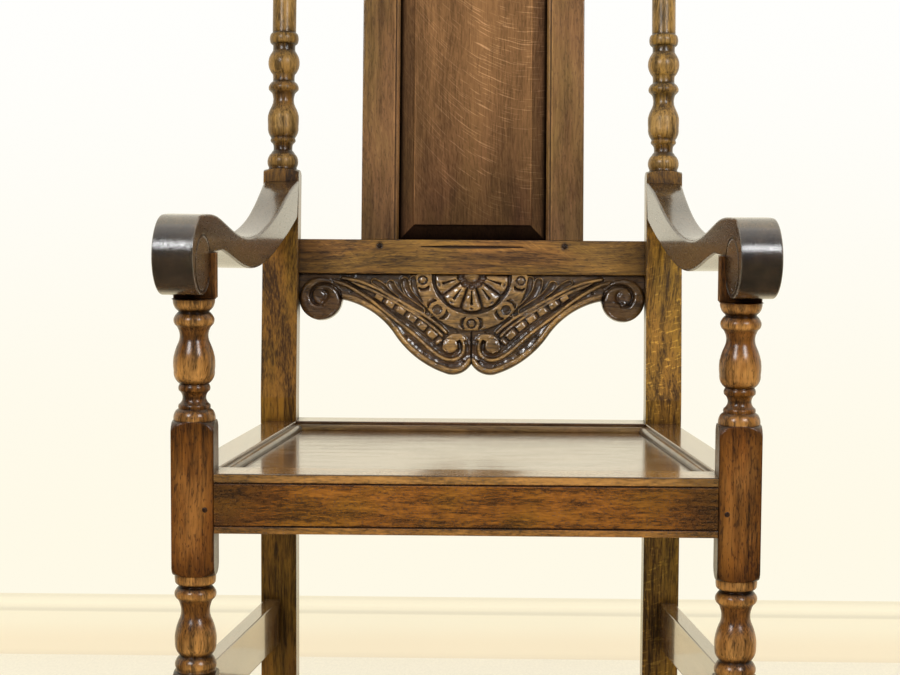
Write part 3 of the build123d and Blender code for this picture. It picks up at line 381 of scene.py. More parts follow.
def dress(material, *names):
    for name in names:
        for slot in nodes[name].material_slots:
            slot.material = material
    print(material.name, "dresses", len(names), "nodes")


def pair(*names):
    return [name + side for name in names for side in ("_left", "_right")]

# %% [markdown]
# ## Small masks
# The masks below are all made of the same few shapes: a thin line at some distance, the greater of several
# masks, a level that was kept on the mesh, and the height along the back's own slope.

# %% Small masks
seat_depth, bend_height = 408.0, 477.0


def line_at(value, middle, half):
    """1 inside a narrow span round a value, 0 outside."""
    return ramp(abs(value - middle), half, half * 0.55)


def both(*masks):
    return functools.reduce(lambda a, b: maths("MAXIMUM", a, b), masks)


def kept(where, name):
    return wire(where.tree, "Attribute", output="Fac", attribute_name=name)


def uneven(where, start, end, low, stretch=(60, 60, 22)):
    """Patchy rubbing between low and 1."""
    return ramp(noise(where, stretch, 2.0, 0.6), start, end, low, 1.0)


def raked_height(where):
    """Height along the back's own slope, from the bend in the posts."""
    x, y, z = split(where)
    return (y - (leg_axis_y + seat_depth / 1000)) * math.sin(rake) + (z - bend_height / 1000) * math.cos(rake)


def halo(a, b, at_a, at_b):
    """The dark rim of old wax round a peg's head."""
    return ramp(vector_maths("LENGTH", combine(a - at_a, b - at_b)), 0.0062, 0.0030, 0.0, 0.85)

# %% [markdown]
# ## Wear on the turned work
# On turned work the parts that stand furthest from the axis are rubbed most, and the quirks between them
# are darkened, partly for old wax and partly as painted shade. The front legs keep both levels on their own
# meshes, made further on. The back posts stay the imported solids, so their levels are read from stops along
# the post, in millimetres from the bend.

# %% Turned wear
POST_RUBBED = [
    (270, 0), (279, 0.1), (284, 0.8), (293, 0.7), (298, 0), (309, 0), (313, 0.5), (316, 0), (320, 0.3),
    (328, 0.9), (342, 1.0), (352, 0.45), (362, 0.1), (373, 0.1), (378, 0.6), (384, 0.1), (392, 0.2),
    (401, 0.8), (412, 0.9), (422, 0.2), (431, 0), (436, 0.6), (443, 0.5), (447, 0.1), (456, 0.7), (500, 1.0),
    (545, 0.8), (551, 0.2), (590, 0.8), (620, 0)]
# Levels of old wax and painted shade along the post, in millimetres from the bend.
POST_WAX_AND_SHADE = [
    (240, 0), (262, 0.35), (276.5, 0.35), (278, 0.9), (281, 0.1), (295, 0.1), (298, 0.8), (305.5, 0.7),
    (311, 0.2), (315, 0.2), (317, 0.9), (319.5, 0.3), (330, 0), (350, 0.1), (366, 0.5), (371.5, 0.8),
    (375, 0.1), (383, 0.2), (386, 0.9), (389.5, 0.3), (402, 0), (420, 0.2), (425.5, 0.9), (431.5, 0.6),
    (435, 0.1), (444, 0.1), (446.5, 0.8), (449, 0.2), (460, 0), (548, 0), (550.5, 0.8), (553, 0.1)]
seat_top = 0.448


def leg_wear(where):
    return kept(where, "rubbed") * uneven(where, 0.30, 0.62, 0.35)


def leg_lines(where):
    return kept(where, "quirk")


def post_wear(where):
    return stops(raked_height(where), POST_RUBBED) * uneven(where, 0.30, 0.60, 0.55)


def post_lines(where):
    """Old wax and painted shade in the quirks of the turning, and a painted shadow on the post under the
    seat.
    """
    x, y, z = split(where)
    # Painted shade in the quirks, and a painted shadow below the seat's top.
    return both(stops(raked_height(where), POST_WAX_AND_SHADE) * 0.88, ramp(z, seat_top, seat_top - 0.004, 0.0, 0.28))


def post_rays(where):
    """The rays show on the square part."""
    return ramp(raked_height(where), 0.27, 0.24, 0.15, 1.0)

# %% [markdown]
# ## Wear on the panel and the stiles
# The panel's field is golden high up and darker towards its foot and its bevels. The arris between field and
# bevel carries a painted highlight, the quirk beside the stiles and the foot of the field carry painted
# shadow, and the rays show most at the right. Each stile has a fine scratched line beside a bead, with a
# painted highlight on the bead's edge, and is darker near its foot.

# %% Panel and stile masks
field_half, foot_height = 0.0715, 0.2115


def panel_shade(where):
    x, y, z = split(where)
    side = ramp(abs(x), 0.0735, 0.0690, 0.5, 1.0)
    # A painted highlight: the field's arris is lifted to the worn colour.
    arris = line_at(abs(x), field_half - 0.0003, 0.0010) * ramp(z, 0.69, 0.73, 0.0, 0.6)
    return both(ramp(z, 0.65, 0.90) * side, arris)


def panel_rays(where):
    x, y, z = split(where)
    return ramp(x, -0.075, 0.0, 0.45, 1.0) * ramp(z, 0.675, 0.745, 0.1, 1.0)


# A painted highlight along the field's arris.
def panel_arris_highlight(where):
    x, y, z = split(where)
    return line_at(abs(x), field_half - 0.0001, 0.0009) * ramp(raked_height(where), 0.212, 0.26, 0.0, 0.8)


def panel_shadow_lines(where):
    x, y, z = split(where)
    # Painted shadow in the quirk beside the stiles and on the bevel at the foot of the field.
    reach, rise = abs(x), raked_height(where)
    mitre = (foot_height - rise) - (reach - field_half)
    foot = ramp(rise, foot_height + 0.001, foot_height - 0.0005, 0.0, 0.96) * ramp(mitre, -0.0004, 0.0008)
    return both(ramp(reach, 0.0825, 0.0890, 0.0, 0.95), foot)


# A painted highlight along each stile's inner edge.
def stile_arris_highlight(where):
    x, y, z = split(where)
    return line_at(abs(x), 0.0965, 0.0009) * 0.6


def stile_lines(where):
    x, y, z = split(where)
    return both(line_at(abs(x), 0.0947, 0.0011) * 0.8, ramp(z, 0.77, 0.665, 0.0, 0.42))

# %% [markdown]
# ## Wear on the rails
# The front rail's face has a scratched line near each long edge, darkened by old wax and painted shade. The
# strips outside the lines are rubbed, and the rail darkens towards the legs. The back's lower rail has a
# shallow tapered slot under the panel, and dark rims round the pegs of its stiles.

# %% Rail masks
rail_top, rail_bottom = 0.450, 0.387
rail_lines = (rail_top - 0.010, rail_bottom + 0.008)
peg_spread, peg_heights, slot_height = 0.1128, (0.1855, 0.6365), 0.1843


def front_rail_lines(where):
    x, y, z = split(where)
    # Old wax and painted shade in the scratched lines, and a darker line along the top edge.
    scratched = [line_at(z, height, 0.0014) for height in rail_lines]
    drawn = both(*scratched, ramp(z, rail_top - 0.002, rail_top - 0.0008))
    face = ramp(y, leg_axis_y - 0.0205, leg_axis_y - 0.0212)
    return both(drawn * 0.85, ramp(abs(x), 0.160, 0.262, 0.0, 0.66)) * face


def rail_strips(where):
    x, y, z = split(where)
    high, low = rail_lines
    return both(ramp(z, high + 0.0005, high + 0.002, 0.0, 0.7), ramp(z, low - 0.0005, low - 0.002, 0.0, 0.4))


def cross_rail_lines(where):
    x, y, z = split(where)
    reach, height = abs(x), raked_height(where)
    half = ramp(reach, 0.066, 0.025, 0.0006, 0.0030)
    slot = ramp(abs(height - slot_height), half, half * 0.4) * ramp(reach, 0.068, 0.060, 0.0, 0.95)
    rims = [halo(reach, height, peg_spread, peg_height) for peg_height in peg_heights]
    return both(slot, ramp(reach, 0.150, 0.212, 0.0, 0.4), *rims)

# %% [markdown]
# ## The wood of the back
# The two posts come from different logs: the right one shows rays, the left one doesn't. The panel is darker
# and hardly polished, the stiles are plain, straight-grained oak.

# %% Wood of the back
post_wood = dict(lines=post_lines, wear=post_wear, dulling=0.95, coat=0.8, haze=0.25)
dress(oak("post_oak", "up", (0.046, 0.021, 0.003), (0.23, 0.108, 0.011), band=0.014, contrast=1.35,
          pores=0.32, offset=(0.7, 0.2, 0.4), worn=(0.255, 0.152, 0.050), sheen=0.1, **post_wood),
          "back_post_left")
dress(oak("flecked_post", "up", (0.064, 0.030, 0.004), (0.30, 0.150, 0.015), band=0.010, contrast=1.4,
          pores=0.5, offset=(0.1, 0.9, 0.7), worn=(0.28, 0.168, 0.056), sheen=0.2, ray_area=post_rays,
          rays={"Level Edge": 0.2, "Bend": 1.0, "Amount": 0.9, "Length": 0.009, "Thickness": 0.0026},
          **post_wood), "back_post_right")
dress(oak("cross_oak", "across", (0.065, 0.029, 0.005), (0.33, 0.158, 0.026), band=0.008, contrast=0.95,
          pores=0.5, offset=(0.9, 0.4, 0.6), lines=cross_rail_lines,
          rays={"Level Edge": 0.3, "Bend": 0.6, "Amount": 0.25, "Length": 0.008, "Thickness": 0.0024}),
      "cross_rail", "top_rail")
dress(oak("stile_oak", "raked", (0.085, 0.041, 0.011), (0.26, 0.138, 0.046), band=0.009, contrast=0.72,
          pores=0.35, patches=0.6, offset=(0.4, 0.8, 0.3), lines=stile_lines, highlight_lines=stile_arris_highlight,
          sheen=0.2, edges=0.35), *pair("inner_stile"))
dress(oak("panel_oak", "raked", (0.036, 0.017, 0.007), (0.098, 0.047, 0.019), band=0.022, pores=0.3,
          rays={"Amount": 0.8, "Thickness": 0.0016, "Length": 0.026, "Bend": 4.5}, ray_area=panel_rays,
          lines=panel_shadow_lines, highlight_lines=panel_arris_highlight, wear=panel_shade, worn=(0.19, 0.095, 0.038), coat=0.04,
          haze=0.35, gloss=-0.2, sheen=0.03), "back_panel")

# %% [markdown]
# ## The wood of the arms and the seat
# Arms, seat and side rails are touched and dusted daily, so their wax is the glossiest, and a high index of
# refraction gives it the strong mirror of many coats. The arms' scrolls show fine scratches across the
# grain.

# %% Wood of the arms and the seat
glossy_rail = dict(ior=2.1, coat=1.0, gloss=0.15, sheen=1.0, pores=0.3)
dress(oak("arm_oak", "deep", (0.020, 0.011, 0.005), (0.080, 0.044, 0.018), offset=(0.1, 0.5, 0.2), ior=2.3,
          coat=1.0, sheen=0.3, brushed=0.8, haze=0.13, ease=0.0025), *pair("arm"))
dress(oak("rail_oak", "across", (0.062, 0.021, 0.002), (0.29, 0.108, 0.009), band=0.010, contrast=1.1,
          pores=0.62, sway=0.006, shorten=2.2, offset=(0.3, 0.3, 0.1), lines=front_rail_lines,
          wear=rail_strips, worn=(0.34, 0.175, 0.050), dulling=0.0, sheen=0.5, ior=2.1, gloss=0.12),
      "front_rail", "front_stretcher", "back_stretcher")
dress(oak("back_rail_oak", "across", (0.06, 0.026, 0.010), (0.20, 0.105, 0.04), haze=0.05, wave=0.03,
          **glossy_rail), "back_rail")
dress(oak("side_oak", "deep", (0.07, 0.032, 0.012), (0.23, 0.125, 0.046), offset=(0.2, 0.1, 0.9), wave=0.04,
          haze=0.06, grime_and_shade=0.35, **glossy_rail), *pair("side_rail", "side_stretcher"))
dress(oak("seat_oak", "across", (0.075, 0.034, 0.013), (0.24, 0.125, 0.050), band=0.02,
          offset=(0.5, 0.6, 0.2), pores=0.4, coat=1.0, ior=2.5, gloss=0.14, sheen=1.0, haze=0.09,
          film_scale=(420, 420, 8), wave=0.11, grime_and_shade=0.35, reach=0.007), "seat_board")
dress(oak("moulding_oak", "across", (0.06, 0.031, 0.009), (0.22, 0.125, 0.038), pores=0.3, haze=0.16,
          sheen=0.2, grime_and_shade=0.25, reach=0.005, edges=0.2),
      *pair("seat_moulding"), "seat_moulding_front", "seat_moulding_back")

# %% [markdown]
# ## Legs, pegs and the pieces out of sight
# The legs' wood is the reddest. Pegs take the stain darkest, because their ends are end grain. The cleats
# and corner blocks under the seat were never waxed, and their screws are dull steel.

# %% Wood of legs and hidden pieces
leg_oak = oak("leg_oak", "up", (0.020, 0.007, 0.001), (0.150, 0.047, 0.003), band=0.011, pores=0.7,
              lines=leg_lines, wear=leg_wear, worn=(0.36, 0.175, 0.046), dulling=0.25, grime_and_shade=0.95, sheen=0.12,
              coat=0.7, haze=0.2)
peg_oak = oak("peg_oak", "up", (0.010, 0.005, 0.002), (0.036, 0.017, 0.008), band=0.004, coat=0.15, haze=0.3,
              sheen=0.15)
peg_nodes = ("leg_pegs", "post_pegs", "frame_pegs", "stile_pegs", "arm_pegs", "stretcher_pegs")
dress(peg_oak, *peg_nodes, "apron_dowels", "crest_dowels")
dress(oak("hidden_oak", "across", (0.12, 0.06, 0.03), (0.30, 0.17, 0.085), coat=0.1, gloss=-0.25),
      "seat_cleat_front", "seat_cleat_back", *pair("seat_cleat", "corner_block_front", "corner_block_back"))

screw_steel, where = new_material("dull_steel")
tarnish = noise(where, (700, 700, 700), 3.0)
shader = wire(where.tree, "BsdfPrincipled", {
    "Base Color": mix(tarnish, (0.16, 0.13, 0.11), (0.42, 0.40, 0.37)), "Metallic": 1.0,
    "Roughness": ramp(tarnish, 0.2, 0.8, 0.3, 0.55)})
place(where.tree, "OutputMaterial", {0: shader})
dress(screw_steel, "cleat_screws", "corner_screws")

# %% [markdown]
# ## From points to finished pieces
# Every new piece below is a mesh that was worked out in numbers. These helpers turn points and faces into a
# mesh, keep levels on its points for the materials, and hand the piece to the chair in place of its node.

# %% Pieces
def signed_volume(mesh):
    """Positive when the faces look outwards."""
    mesh.calc_loop_triangles()
    points = np.empty(len(mesh.vertices) * 3)
    mesh.vertices.foreach_get("co", points)
    triangles = np.empty(len(mesh.loop_triangles) * 3, int)
    mesh.loop_triangles.foreach_get("vertices", triangles)
    a, b, c = points.reshape(-1, 3)[triangles.reshape(-1, 3)].transpose(1, 0, 2)
    return float(np.einsum("ij,ij->i", a, np.cross(b, c)).sum() / 6)


def new_mesh(name, points, faces, material, sharp_degrees, **levels):
    mesh = bpy.data.meshes.new(name)
    mesh.from_pydata(points.tolist(), [], faces)
    for level, values in levels.items():
        attribute = mesh.attributes.new(level, "FLOAT", "POINT")
        attribute.data.foreach_set("value", values.astype(np.float32))
    mesh.update()
    if signed_volume(mesh) < 0:
        mesh.flip_normals()
    mesh.polygons.foreach_set("use_smooth", [True] * len(mesh.polygons))
    mesh.set_sharp_from_angle(angle=math.radians(sharp_degrees))
    mesh.materials.append(material)
    return mesh


def add_piece(name, mesh, node):
    piece = bpy.data.objects.new(name, mesh)
    scene.collection.objects.link(piece)
    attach(piece, "root")
    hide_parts(node)
    print(name, len(mesh.polygons), "faces, volume", round(signed_volume(mesh) * 1e6, 2), "cm3")


def ring_faces(rows, columns, start=0):
    """Walls between rings of points, one above the other, and a cap at each end."""
    faces = []
    for row in range(rows - 1):
        low = start + row * columns
        high = low + columns
        for i in range(columns):
            j = (i + 1) % columns
            faces.append((low + i, low + j, high + j, high + i))
    last = start + (rows - 1) * columns
    return faces + [tuple(range(start, start + columns))[::-1], tuple(range(last, last + columns))]

# %% [markdown]
# ## The front legs, turned again
# A leg is square stock that was turned between its blocks, so at every height its section is the smaller of
# a square and a circle. The circle's radius is read from the solid. At the ends of the blocks the turner's
# tool rounded the corners well down, which leaves an arch on each face. A grid of columns round the leg and
# rows up it gives that shape exactly. All sizes in this cell are in millimetres.

# %% Shape of a leg
leg_half, leg_spread, leg_top = 22.5, 283.5, 677.5
step_height, step_front = 630.3, 4.0
blocks = [(83.0, 237.5), (340.5, 503.3), (629.7, 640.0)]
arch_height, arch_rows_height, corner_reach, clear_of_corners = 20.0, 14.0, leg_half * 1.44, 99.0
tenon_ring = 48


def superellipse(angles, power):
    """The reach of a square of half width 1 with slightly rounded corners."""
    return (np.abs(np.cos(angles))**power + np.abs(np.sin(angles))**power) ** (-1 / power)


def solid_profile(node, axis_x):
    """Heights and radii of the turned parts, read from the solid's own points."""
    points = np.array([vertex.co[:] for vertex in nodes[node].data.vertices]) * 1000
    radius = np.hypot(points[:, 0] - axis_x, points[:, 1] - leg_axis_y * 1000)
    heights = np.round(points[:, 2], 2)
    rows = []
    for height in np.unique(heights):
        inside = any(low + 0.05 < height < high - 0.05 for low, high in blocks)
        reach = radius[heights == height]
        ring = reach[np.abs(reach - reach.max()) < 0.05]
        if not inside and height < blocks[2][0] + 0.05 and len(ring) > 12:
            rows.append((height, min(float(np.median(ring)), leg_half * 0.98)))
    return np.array(rows)


def leg_rows(profile):
    """The profile's rows and those of the blocks, whose corners fall away in an arch at each end."""
    rows = [tuple(row) for row in profile]
    for low, high in blocks:
        whole = high < step_height
        for step in np.linspace(0.0, 1.0, 15)[1:] ** 1.6 * arch_rows_height:
            rise = math.sqrt(1 - (1 - step / arch_height)**2)
            for end, z in ((low, low + step), (high, high - step)):
                if whole or (end == low and z < step_height):
                    start = float(np.interp(end, profile[:, 0], profile[:, 1]))
                    rows.append((z, start + (corner_reach - start) * rise))
        if whole:
            rows += [(z, clear_of_corners) for z in np.linspace(low + 15, high - 15, 40)]
    rows.append((step_height, max(row for row in rows if row[0] < step_height - 0.01)[1]))
    return np.array(sorted(rows, key=lambda row: row[0])).T

# %% [markdown]
# ## Where a leg is rubbed and where it is darkened
# Bellies are rubbed, most of all where they face upwards. Valleys between two higher parts are darkened,
# partly for old wax and partly as painted shade. The edges and ends of the square blocks are darker, and
# their inner sides carry painted shade.

# %% Levels on a leg
def leg_levels(heights, radii, section, x, y, side):
    fine = np.arange(0, step_height, 0.5)
    smooth = np.interp(fine, heights, np.minimum(radii, 30))
    rising = np.interp(heights, fine, np.clip(0.72 + 0.9 * np.gradient(smooth, 0.5), 0.35, 1.0))
    belly = (np.clip((radii - 17.0) / 4.2, 0, 1)**1.3 * rising)[:, None] * np.ones_like(x)
    below = np.max([np.roll(smooth, k) for k in range(13)], 0)
    above_it = np.max([np.roll(smooth, -k) for k in range(13)], 0)
    # Old wax and painted shade: valleys between two higher parts are darkened.
    valley = np.clip((np.minimum(below, above_it) - smooth - 0.5) / 2.2, 0, 1)
    sunk = np.interp(heights, fine, valley)[:, None] * np.ones_like(x)
    ends = np.min([np.minimum(np.abs(heights - low), np.abs(heights - high)) for low, high in blocks[:2]], 0)
    on_block = (radii > leg_half)[:, None] & (section > leg_half - 0.4)
    across = np.minimum(np.abs(x), np.abs(y)) / leg_half
    rub = 0.22 * np.clip((ends - 6) / 40, 0, 1)[:, None] * (1 - across**2.2) + 0.03
    worn = np.where(on_block | (radii > 60)[:, None], rub, 0.12 + belly * 0.83)
    end_darkening = 0.4 * np.clip(1 - (ends - 4) / 16, 0, 1)[:, None]
    edge_darkening = 0.5 * np.clip((across - 0.5) / 0.5, 0, 1)**1.5 + end_darkening
    # Painted shade on the side of each block that faces the other leg.
    inner_face_shade = np.clip((-side * x / leg_half - 0.9) / 0.08, 0, 1)
    sunk = np.where(on_block, np.clip(edge_darkening + 0.55 * inner_face_shade, 0, 0.8), sunk)
    return worn.ravel(), sunk.ravel() * 0.8


def turned_leg(name, side):
    axis = side * leg_spread
    heights, radii = leg_rows(solid_profile(name, axis))
    spread = np.sin(np.linspace(-1, 1, 29)[:-1] * math.pi / 2)
    angles = np.concatenate([np.arctan(spread) + quarter * math.pi / 2 for quarter in range(4)])
    section = np.minimum(leg_half * superellipse(angles, 34)[None, :], radii[:, None])
    x, y = section * np.cos(angles), section * np.sin(angles)
    worn, sunk = leg_levels(heights, radii, section, x, y, side)
    turns = np.linspace(0, 2 * math.pi, tenon_ring, endpoint=False)
    reach = superellipse(turns, 16)
    middle, deep = (leg_half + step_front) / 2, (leg_half - step_front) / 2
    x = np.append(x, np.tile(reach * np.cos(turns) * leg_half, 2))
    y = np.append(y, np.tile(reach * np.sin(turns) * deep + middle, 2))
    z = np.append(np.repeat(heights, len(angles)), np.repeat((step_height, leg_top), tenon_ring))
    points = np.stack([x + axis, y + leg_axis_y * 1000, z], -1) / 1000
    faces = ring_faces(len(heights), len(angles))
    faces += ring_faces(2, tenon_ring, len(heights) * len(angles))
    mesh = new_mesh("turned_" + name, points, faces, leg_oak, 40,
                    rubbed=np.append(worn, np.full(2 * tenon_ring, 0.2)),
                    quirk=np.append(sunk, np.zeros(2 * tenon_ring)))
    add_piece("turned_" + name, mesh, name)


turned_leg("front_leg_left", -1)
turned_leg("front_leg_right", 1)

# %% [markdown]
# ## Pegs
# Drawbored pegs are split from a billet and shaved with a knife, so they have facets and a slightly domed
# end. All of them are the same peg, instanced by Geometry Nodes on one point for each peg of the solid. The
# points keep each peg's direction and length as attributes, and a seeded random turn hides the repetition.

# %% Peg tree
peg_tree, given, made = new_group("cleft_pegs", {
    "Points": "Geometry", "Radius": 0.0029, "Facets": 9, "Dome": 0.015, "Seed": 3, "Wood": "Material"},
    {"Pegs": "Geometry"}, "Geometry")
shaft = wires(place(peg_tree, "GeometryNodeMeshCylinder", {
    "Vertices": given["Facets"], "Radius": given["Radius"], "Depth": 1.0 - given["Dome"] * 2.0}))
both_ends = wire(peg_tree, "FunctionNodeBooleanMath", {0: shaft["Top"], 1: shaft["Bottom"]}, operation="OR")
raised = wires(place(peg_tree, "GeometryNodeExtrudeMesh", {
    "Mesh": shaft["Mesh"], "Selection": both_ends, "Offset Scale": given["Dome"]}, mode="FACES"))
domed = wire(peg_tree, "GeometryNodeScaleElements", {
    "Geometry": raised["Mesh"], "Selection": raised["Top"], "Scale": 0.7})
axis_field, length_field = (
    wire(peg_tree, "GeometryNodeInputNamedAttribute", {"Name": name}, "Attribute", data_type=kind)
    for name, kind in (("axis", "FLOAT_VECTOR"), ("length", "FLOAT")))
turn = wires(place(peg_tree, "FunctionNodeRandomValue", {"Max": 6.28, "Seed": given["Seed"]},
                   data_type="FLOAT"))
turned = wire(peg_tree, "FunctionNodeAxisAngleToRotation", {"Axis": (0, 0, 1), "Angle": turn["Value"]})
aimed = wire(peg_tree, "FunctionNodeAlignRotationToVector", {"Rotation": turned, "Vector": axis_field},
             axis="Z")
peg_scale = wire(peg_tree, "CombineXYZ", {0: 1.0, 1: 1.0, 2: length_field})
set_pegs = wire(peg_tree, "GeometryNodeInstanceOnPoints", {
    "Points": given["Points"], "Instance": domed, "Rotation": aimed, "Scale": peg_scale})
real_pegs = wire(peg_tree, "GeometryNodeRealizeInstances", {"Geometry": set_pegs})
give(made, Pegs=wire(peg_tree, "GeometryNodeSetMaterial", {"Geometry": real_pegs, "Material": given["Wood"]}))
print("peg tree nodes", len(peg_tree.nodes))

# %% [markdown]
# ## One peg for each peg of the solid
# A peg node holds several separate solids in one mesh. Its points are sorted into bodies by following the
# edges. The longest direction of each body gives the peg's axis.

# %% Pegs from the solid
def islands(mesh):
    """The separate bodies of a mesh, each as an array of points."""
    corners = np.round(np.array([vertex.co[:] for vertex in mesh.vertices]), 6)
    points, index = np.unique(corners, axis=0, return_inverse=True)
    label = np.arange(len(points))
    edges = index.ravel()[np.array([edge.vertices[:] for edge in mesh.edges])]
    while True:
        lowest = np.minimum(label[edges[:, 0]], label[edges[:, 1]])
        before = label.copy()
        np.minimum.at(label, edges[:, 0], lowest)
        np.minimum.at(label, edges[:, 1], lowest)
        label = label[label]
        if (label == before).all():
            return [points[label == value] for value in np.unique(label)]


def cleft_pegs(node, seed):
    places, axes, lengths = [], [], []
    for body in islands(nodes[node].data):
        axis = np.linalg.svd(body - body.mean(0), full_matrices=False)[2][0]
        run = (body - body.mean(0)) @ axis
        places.append((body.mean(0) + axis * (run.max() + run.min()) / 2).tolist())
        axes.append(axis)
        lengths.append(run.max() - run.min())
    points = bpy.data.meshes.new(node + "_places")
    points.from_pydata(places, [], [])
    axis_values, length_values = np.array(axes, np.float32).ravel(), np.array(lengths, np.float32)
    points.attributes.new("axis", "FLOAT_VECTOR", "POINT").data.foreach_set("vector", axis_values)
    points.attributes.new("length", "FLOAT", "POINT").data.foreach_set("value", length_values)
    carrier = bpy.data.objects.new(node + "_places", points)
    scene.collection.objects.link(carrier)
    modifier = carrier.modifiers.new("cleft_pegs", "NODES")
    modifier.node_group = peg_tree
    sockets = {item.name: item.identifier for item in peg_tree.interface.items_tree if item.in_out == "INPUT"}
    modifier[sockets["Seed"]] = seed
    modifier[sockets["Wood"]] = peg_oak
    mesh = bpy.data.meshes.new_from_object(carrier.evaluated_get(bpy.context.evaluated_depsgraph_get()))
    mesh.name = "cleft_" + node
    carrier.modifiers.clear()
    bpy.data.objects.remove(carrier)
    add_piece("cleft_" + node, mesh, node)


for seed, node in enumerate(peg_nodes, 1):
    cleft_pegs(node, seed)

# %% [markdown]
# ## The carved boards: their outline
# The apron is a board 20 mm thick whose lower edge was sawn to a scroll and whose face was then carved. Its
# outline is the same as the solid's: straight along the rail, a volute at each end, a sweep, and a curl in
# the middle. Here it is a list of points in millimetres, x from the middle and d from the rail's edge. The
# cresting is a lower board of the same pattern.

# %% Outline of a carved board
board_half, board_face, board_thick, volute_gap = 210.7, -0.5, 20.0, 4.7
notch_shares = (0.750, 0.254)
sweep_shares = [(0.602, 0.351), (0.450, 0.590), (0.284, 0.876), (0.133, 0.998), (0.057, 0.982), (0.0, 0.894)]


def arc_points(a, b, c, count):
    """Points on the circle through a, b and c, from a to c by way of b."""
    (ax, ay), (bx, by), (cx, cy) = a, b, c
    twice = 2 * (ax * (by - cy) + bx * (cy - ay) + cx * (ay - by))
    square_a, square_b, square_c = ax**2 + ay**2, bx**2 + by**2, cx**2 + cy**2
    ux = (square_a * (by - cy) + square_b * (cy - ay) + square_c * (ay - by)) / twice
    uy = (square_a * (cx - bx) + square_b * (ax - cx) + square_c * (bx - ax)) / twice
    radius = math.hypot(ax - ux, ay - uy)
    turns = [math.atan2(y - uy, x - ux) for x, y in (a, b, c)]
    span = (turns[2] - turns[0]) % (2 * math.pi)
    if (turns[1] - turns[0]) % (2 * math.pi) > span:
        span -= 2 * math.pi
    steps = [turns[0] + span * i / count for i in range(count + 1)]
    return [(ux + radius * math.cos(step), uy + radius * math.sin(step)) for step in steps]


def board_outline(depth, volute):
    """The lower edge: round the volute to the notch, and from there to the middle."""
    middle = (board_half - volute, volute_gap + volute)
    notch, *sweep = [(a * board_half, d * depth) for a, d in [notch_shares] + sweep_shares]
    edge = arc_points((board_half, middle[1]), (middle[0], middle[1] + volute), notch, 60)
    hem = arc_points(notch, sweep[0], sweep[1], 60)
    hem += arc_points(sweep[1], sweep[2], sweep[3], 60)[1:]
    return edge, hem + arc_points(sweep[3], sweep[4], sweep[5], 24)[1:]


print("outline points", sum(map(len, board_outline(122.0, 25.8))))

# %% [markdown]
# ## The carver's lines
# The carver worked with a V-tool and a few gouges: ribs that sweep from the end volutes down to a curl in
# the middle, a ladder of short gouge cuts between two ribs, and tongue-shaped leaves in the corners. Each is
# a rounded path through a few points in millimetres.

# %% Paths of the pattern
def smooth_path(points, count=10):
    """A rounded path through given points (Catmull-Rom)."""
    p = np.array([points[0]] + list(points) + [points[-1]], float)
    steps = np.linspace(0, 1, count, endpoint=False)[:, None]
    out = []
    for a, b, c, d in zip(p[:-3], p[1:-2], p[2:-1], p[3:]):
        square, cube = 2 * a - 5 * b + 4 * c - d, 3 * b - a - 3 * c + d
        out.append(0.5 * (2 * b + (c - a) * steps + square * steps**2 + cube * steps**3))
    return np.vstack(out + [p[-1:]])


def path_length(path):
    return float(np.sum(np.hypot(*np.diff(path, axis=0).T)))


rib_path = smooth_path([
    (168, 9.5), (157, 12.8), (150, 16), (140, 21.5), (130, 28), (120, 35), (110, 43), (100, 51), (90, 58.5),
    (80, 66), (70, 74), (60, 83), (50, 92), (40, 99.5), (31, 103.8), (22, 104.6), (14, 101), (9.6, 94),
    (9.2, 86), (12, 79.5)])
quirk_path = smooth_path([
    (152, 10), (140, 16.8), (130, 23.3), (120, 30), (110, 36.8), (100, 43.5), (90, 51), (80, 58.5),
    (70, 66.3), (60, 74.8), (50, 83.8), (42, 91), (34, 97.3), (25.5, 99.8), (17.5, 97), (13.2, 91),
    (14.3, 84)])
ladder_path = smooth_path([
    (118, 26.5), (107, 32.3), (97, 38.6), (88, 44), (79, 49.8), (70, 56), (61, 62.8), (52, 70), (44, 77.5),
    (38, 84)])
high_rib = smooth_path([
    (158, 5.5), (140, 9), (126, 13.6), (116, 18), (106, 23.2), (96, 28.6), (86, 34), (76, 39.6), (66, 45.2),
    (56, 51.2), (46, 58), (38, 64.4), (31, 71)])
low_rib = smooth_path([
    (146, 11.5), (132, 16.3), (120, 21.2), (110, 26.2), (100, 31.4), (90, 37), (80, 42.6), (70, 48.4),
    (60, 55), (50, 62.4), (42, 69), (36, 75)])
leaves = [(smooth_path(points), width) for points, width in (
    ([(71, 6.5), (69.5, 17), (65.5, 27), (59, 37), (50, 47)], 4.4),
    ([(82, 8.5), (79.5, 18), (73.5, 28), (64, 38.5), (54, 47)], 4.6),
    ([(99, 12.5), (94, 20.5), (86, 29), (76, 36), (62, 45)], 4.8),
    ([(119, 9.5), (110, 14.5), (101, 23), (92, 30)], 3.4))]
curl_hollow = smooth_path([(40, 105.6), (31, 109.4), (22, 109.4), (13, 106), (6.6, 99.5), (4.8, 91),
                           (6.2, 83)])
volute_groove = smooth_path([
    (159, 29), (163.5, 20.2), (170, 14.9), (178.2, 12.6), (187.1, 13.6), (193.4, 18.4), (196, 25.2),
    (194.6, 32), (190.4, 37.3), (183, 39)], 6)
volute_eye_groove = smooth_path([(182, 34.4), (178, 30.5), (176.8, 25), (180, 21)], 5)
hem_dots = [(147, 21.8), (123, 38), (102.5, 55.3), (79.5, 76.5), (56.5, 96.8), (29.5, 111.5), (9, 107)]
quirk_length, ladder_length = path_length(quirk_path), path_length(ladder_path)
print("quirk", round(quirk_length), "mm, ladder", round(ladder_length), "mm")

# %% [markdown]
# ## Cuts
# Each part of the pattern becomes a rule for the depth of the surface, in millimetres below the board's
# face. The deepest or highest rule wins at each point. A few small functions stand for the strokes of the
# tools.

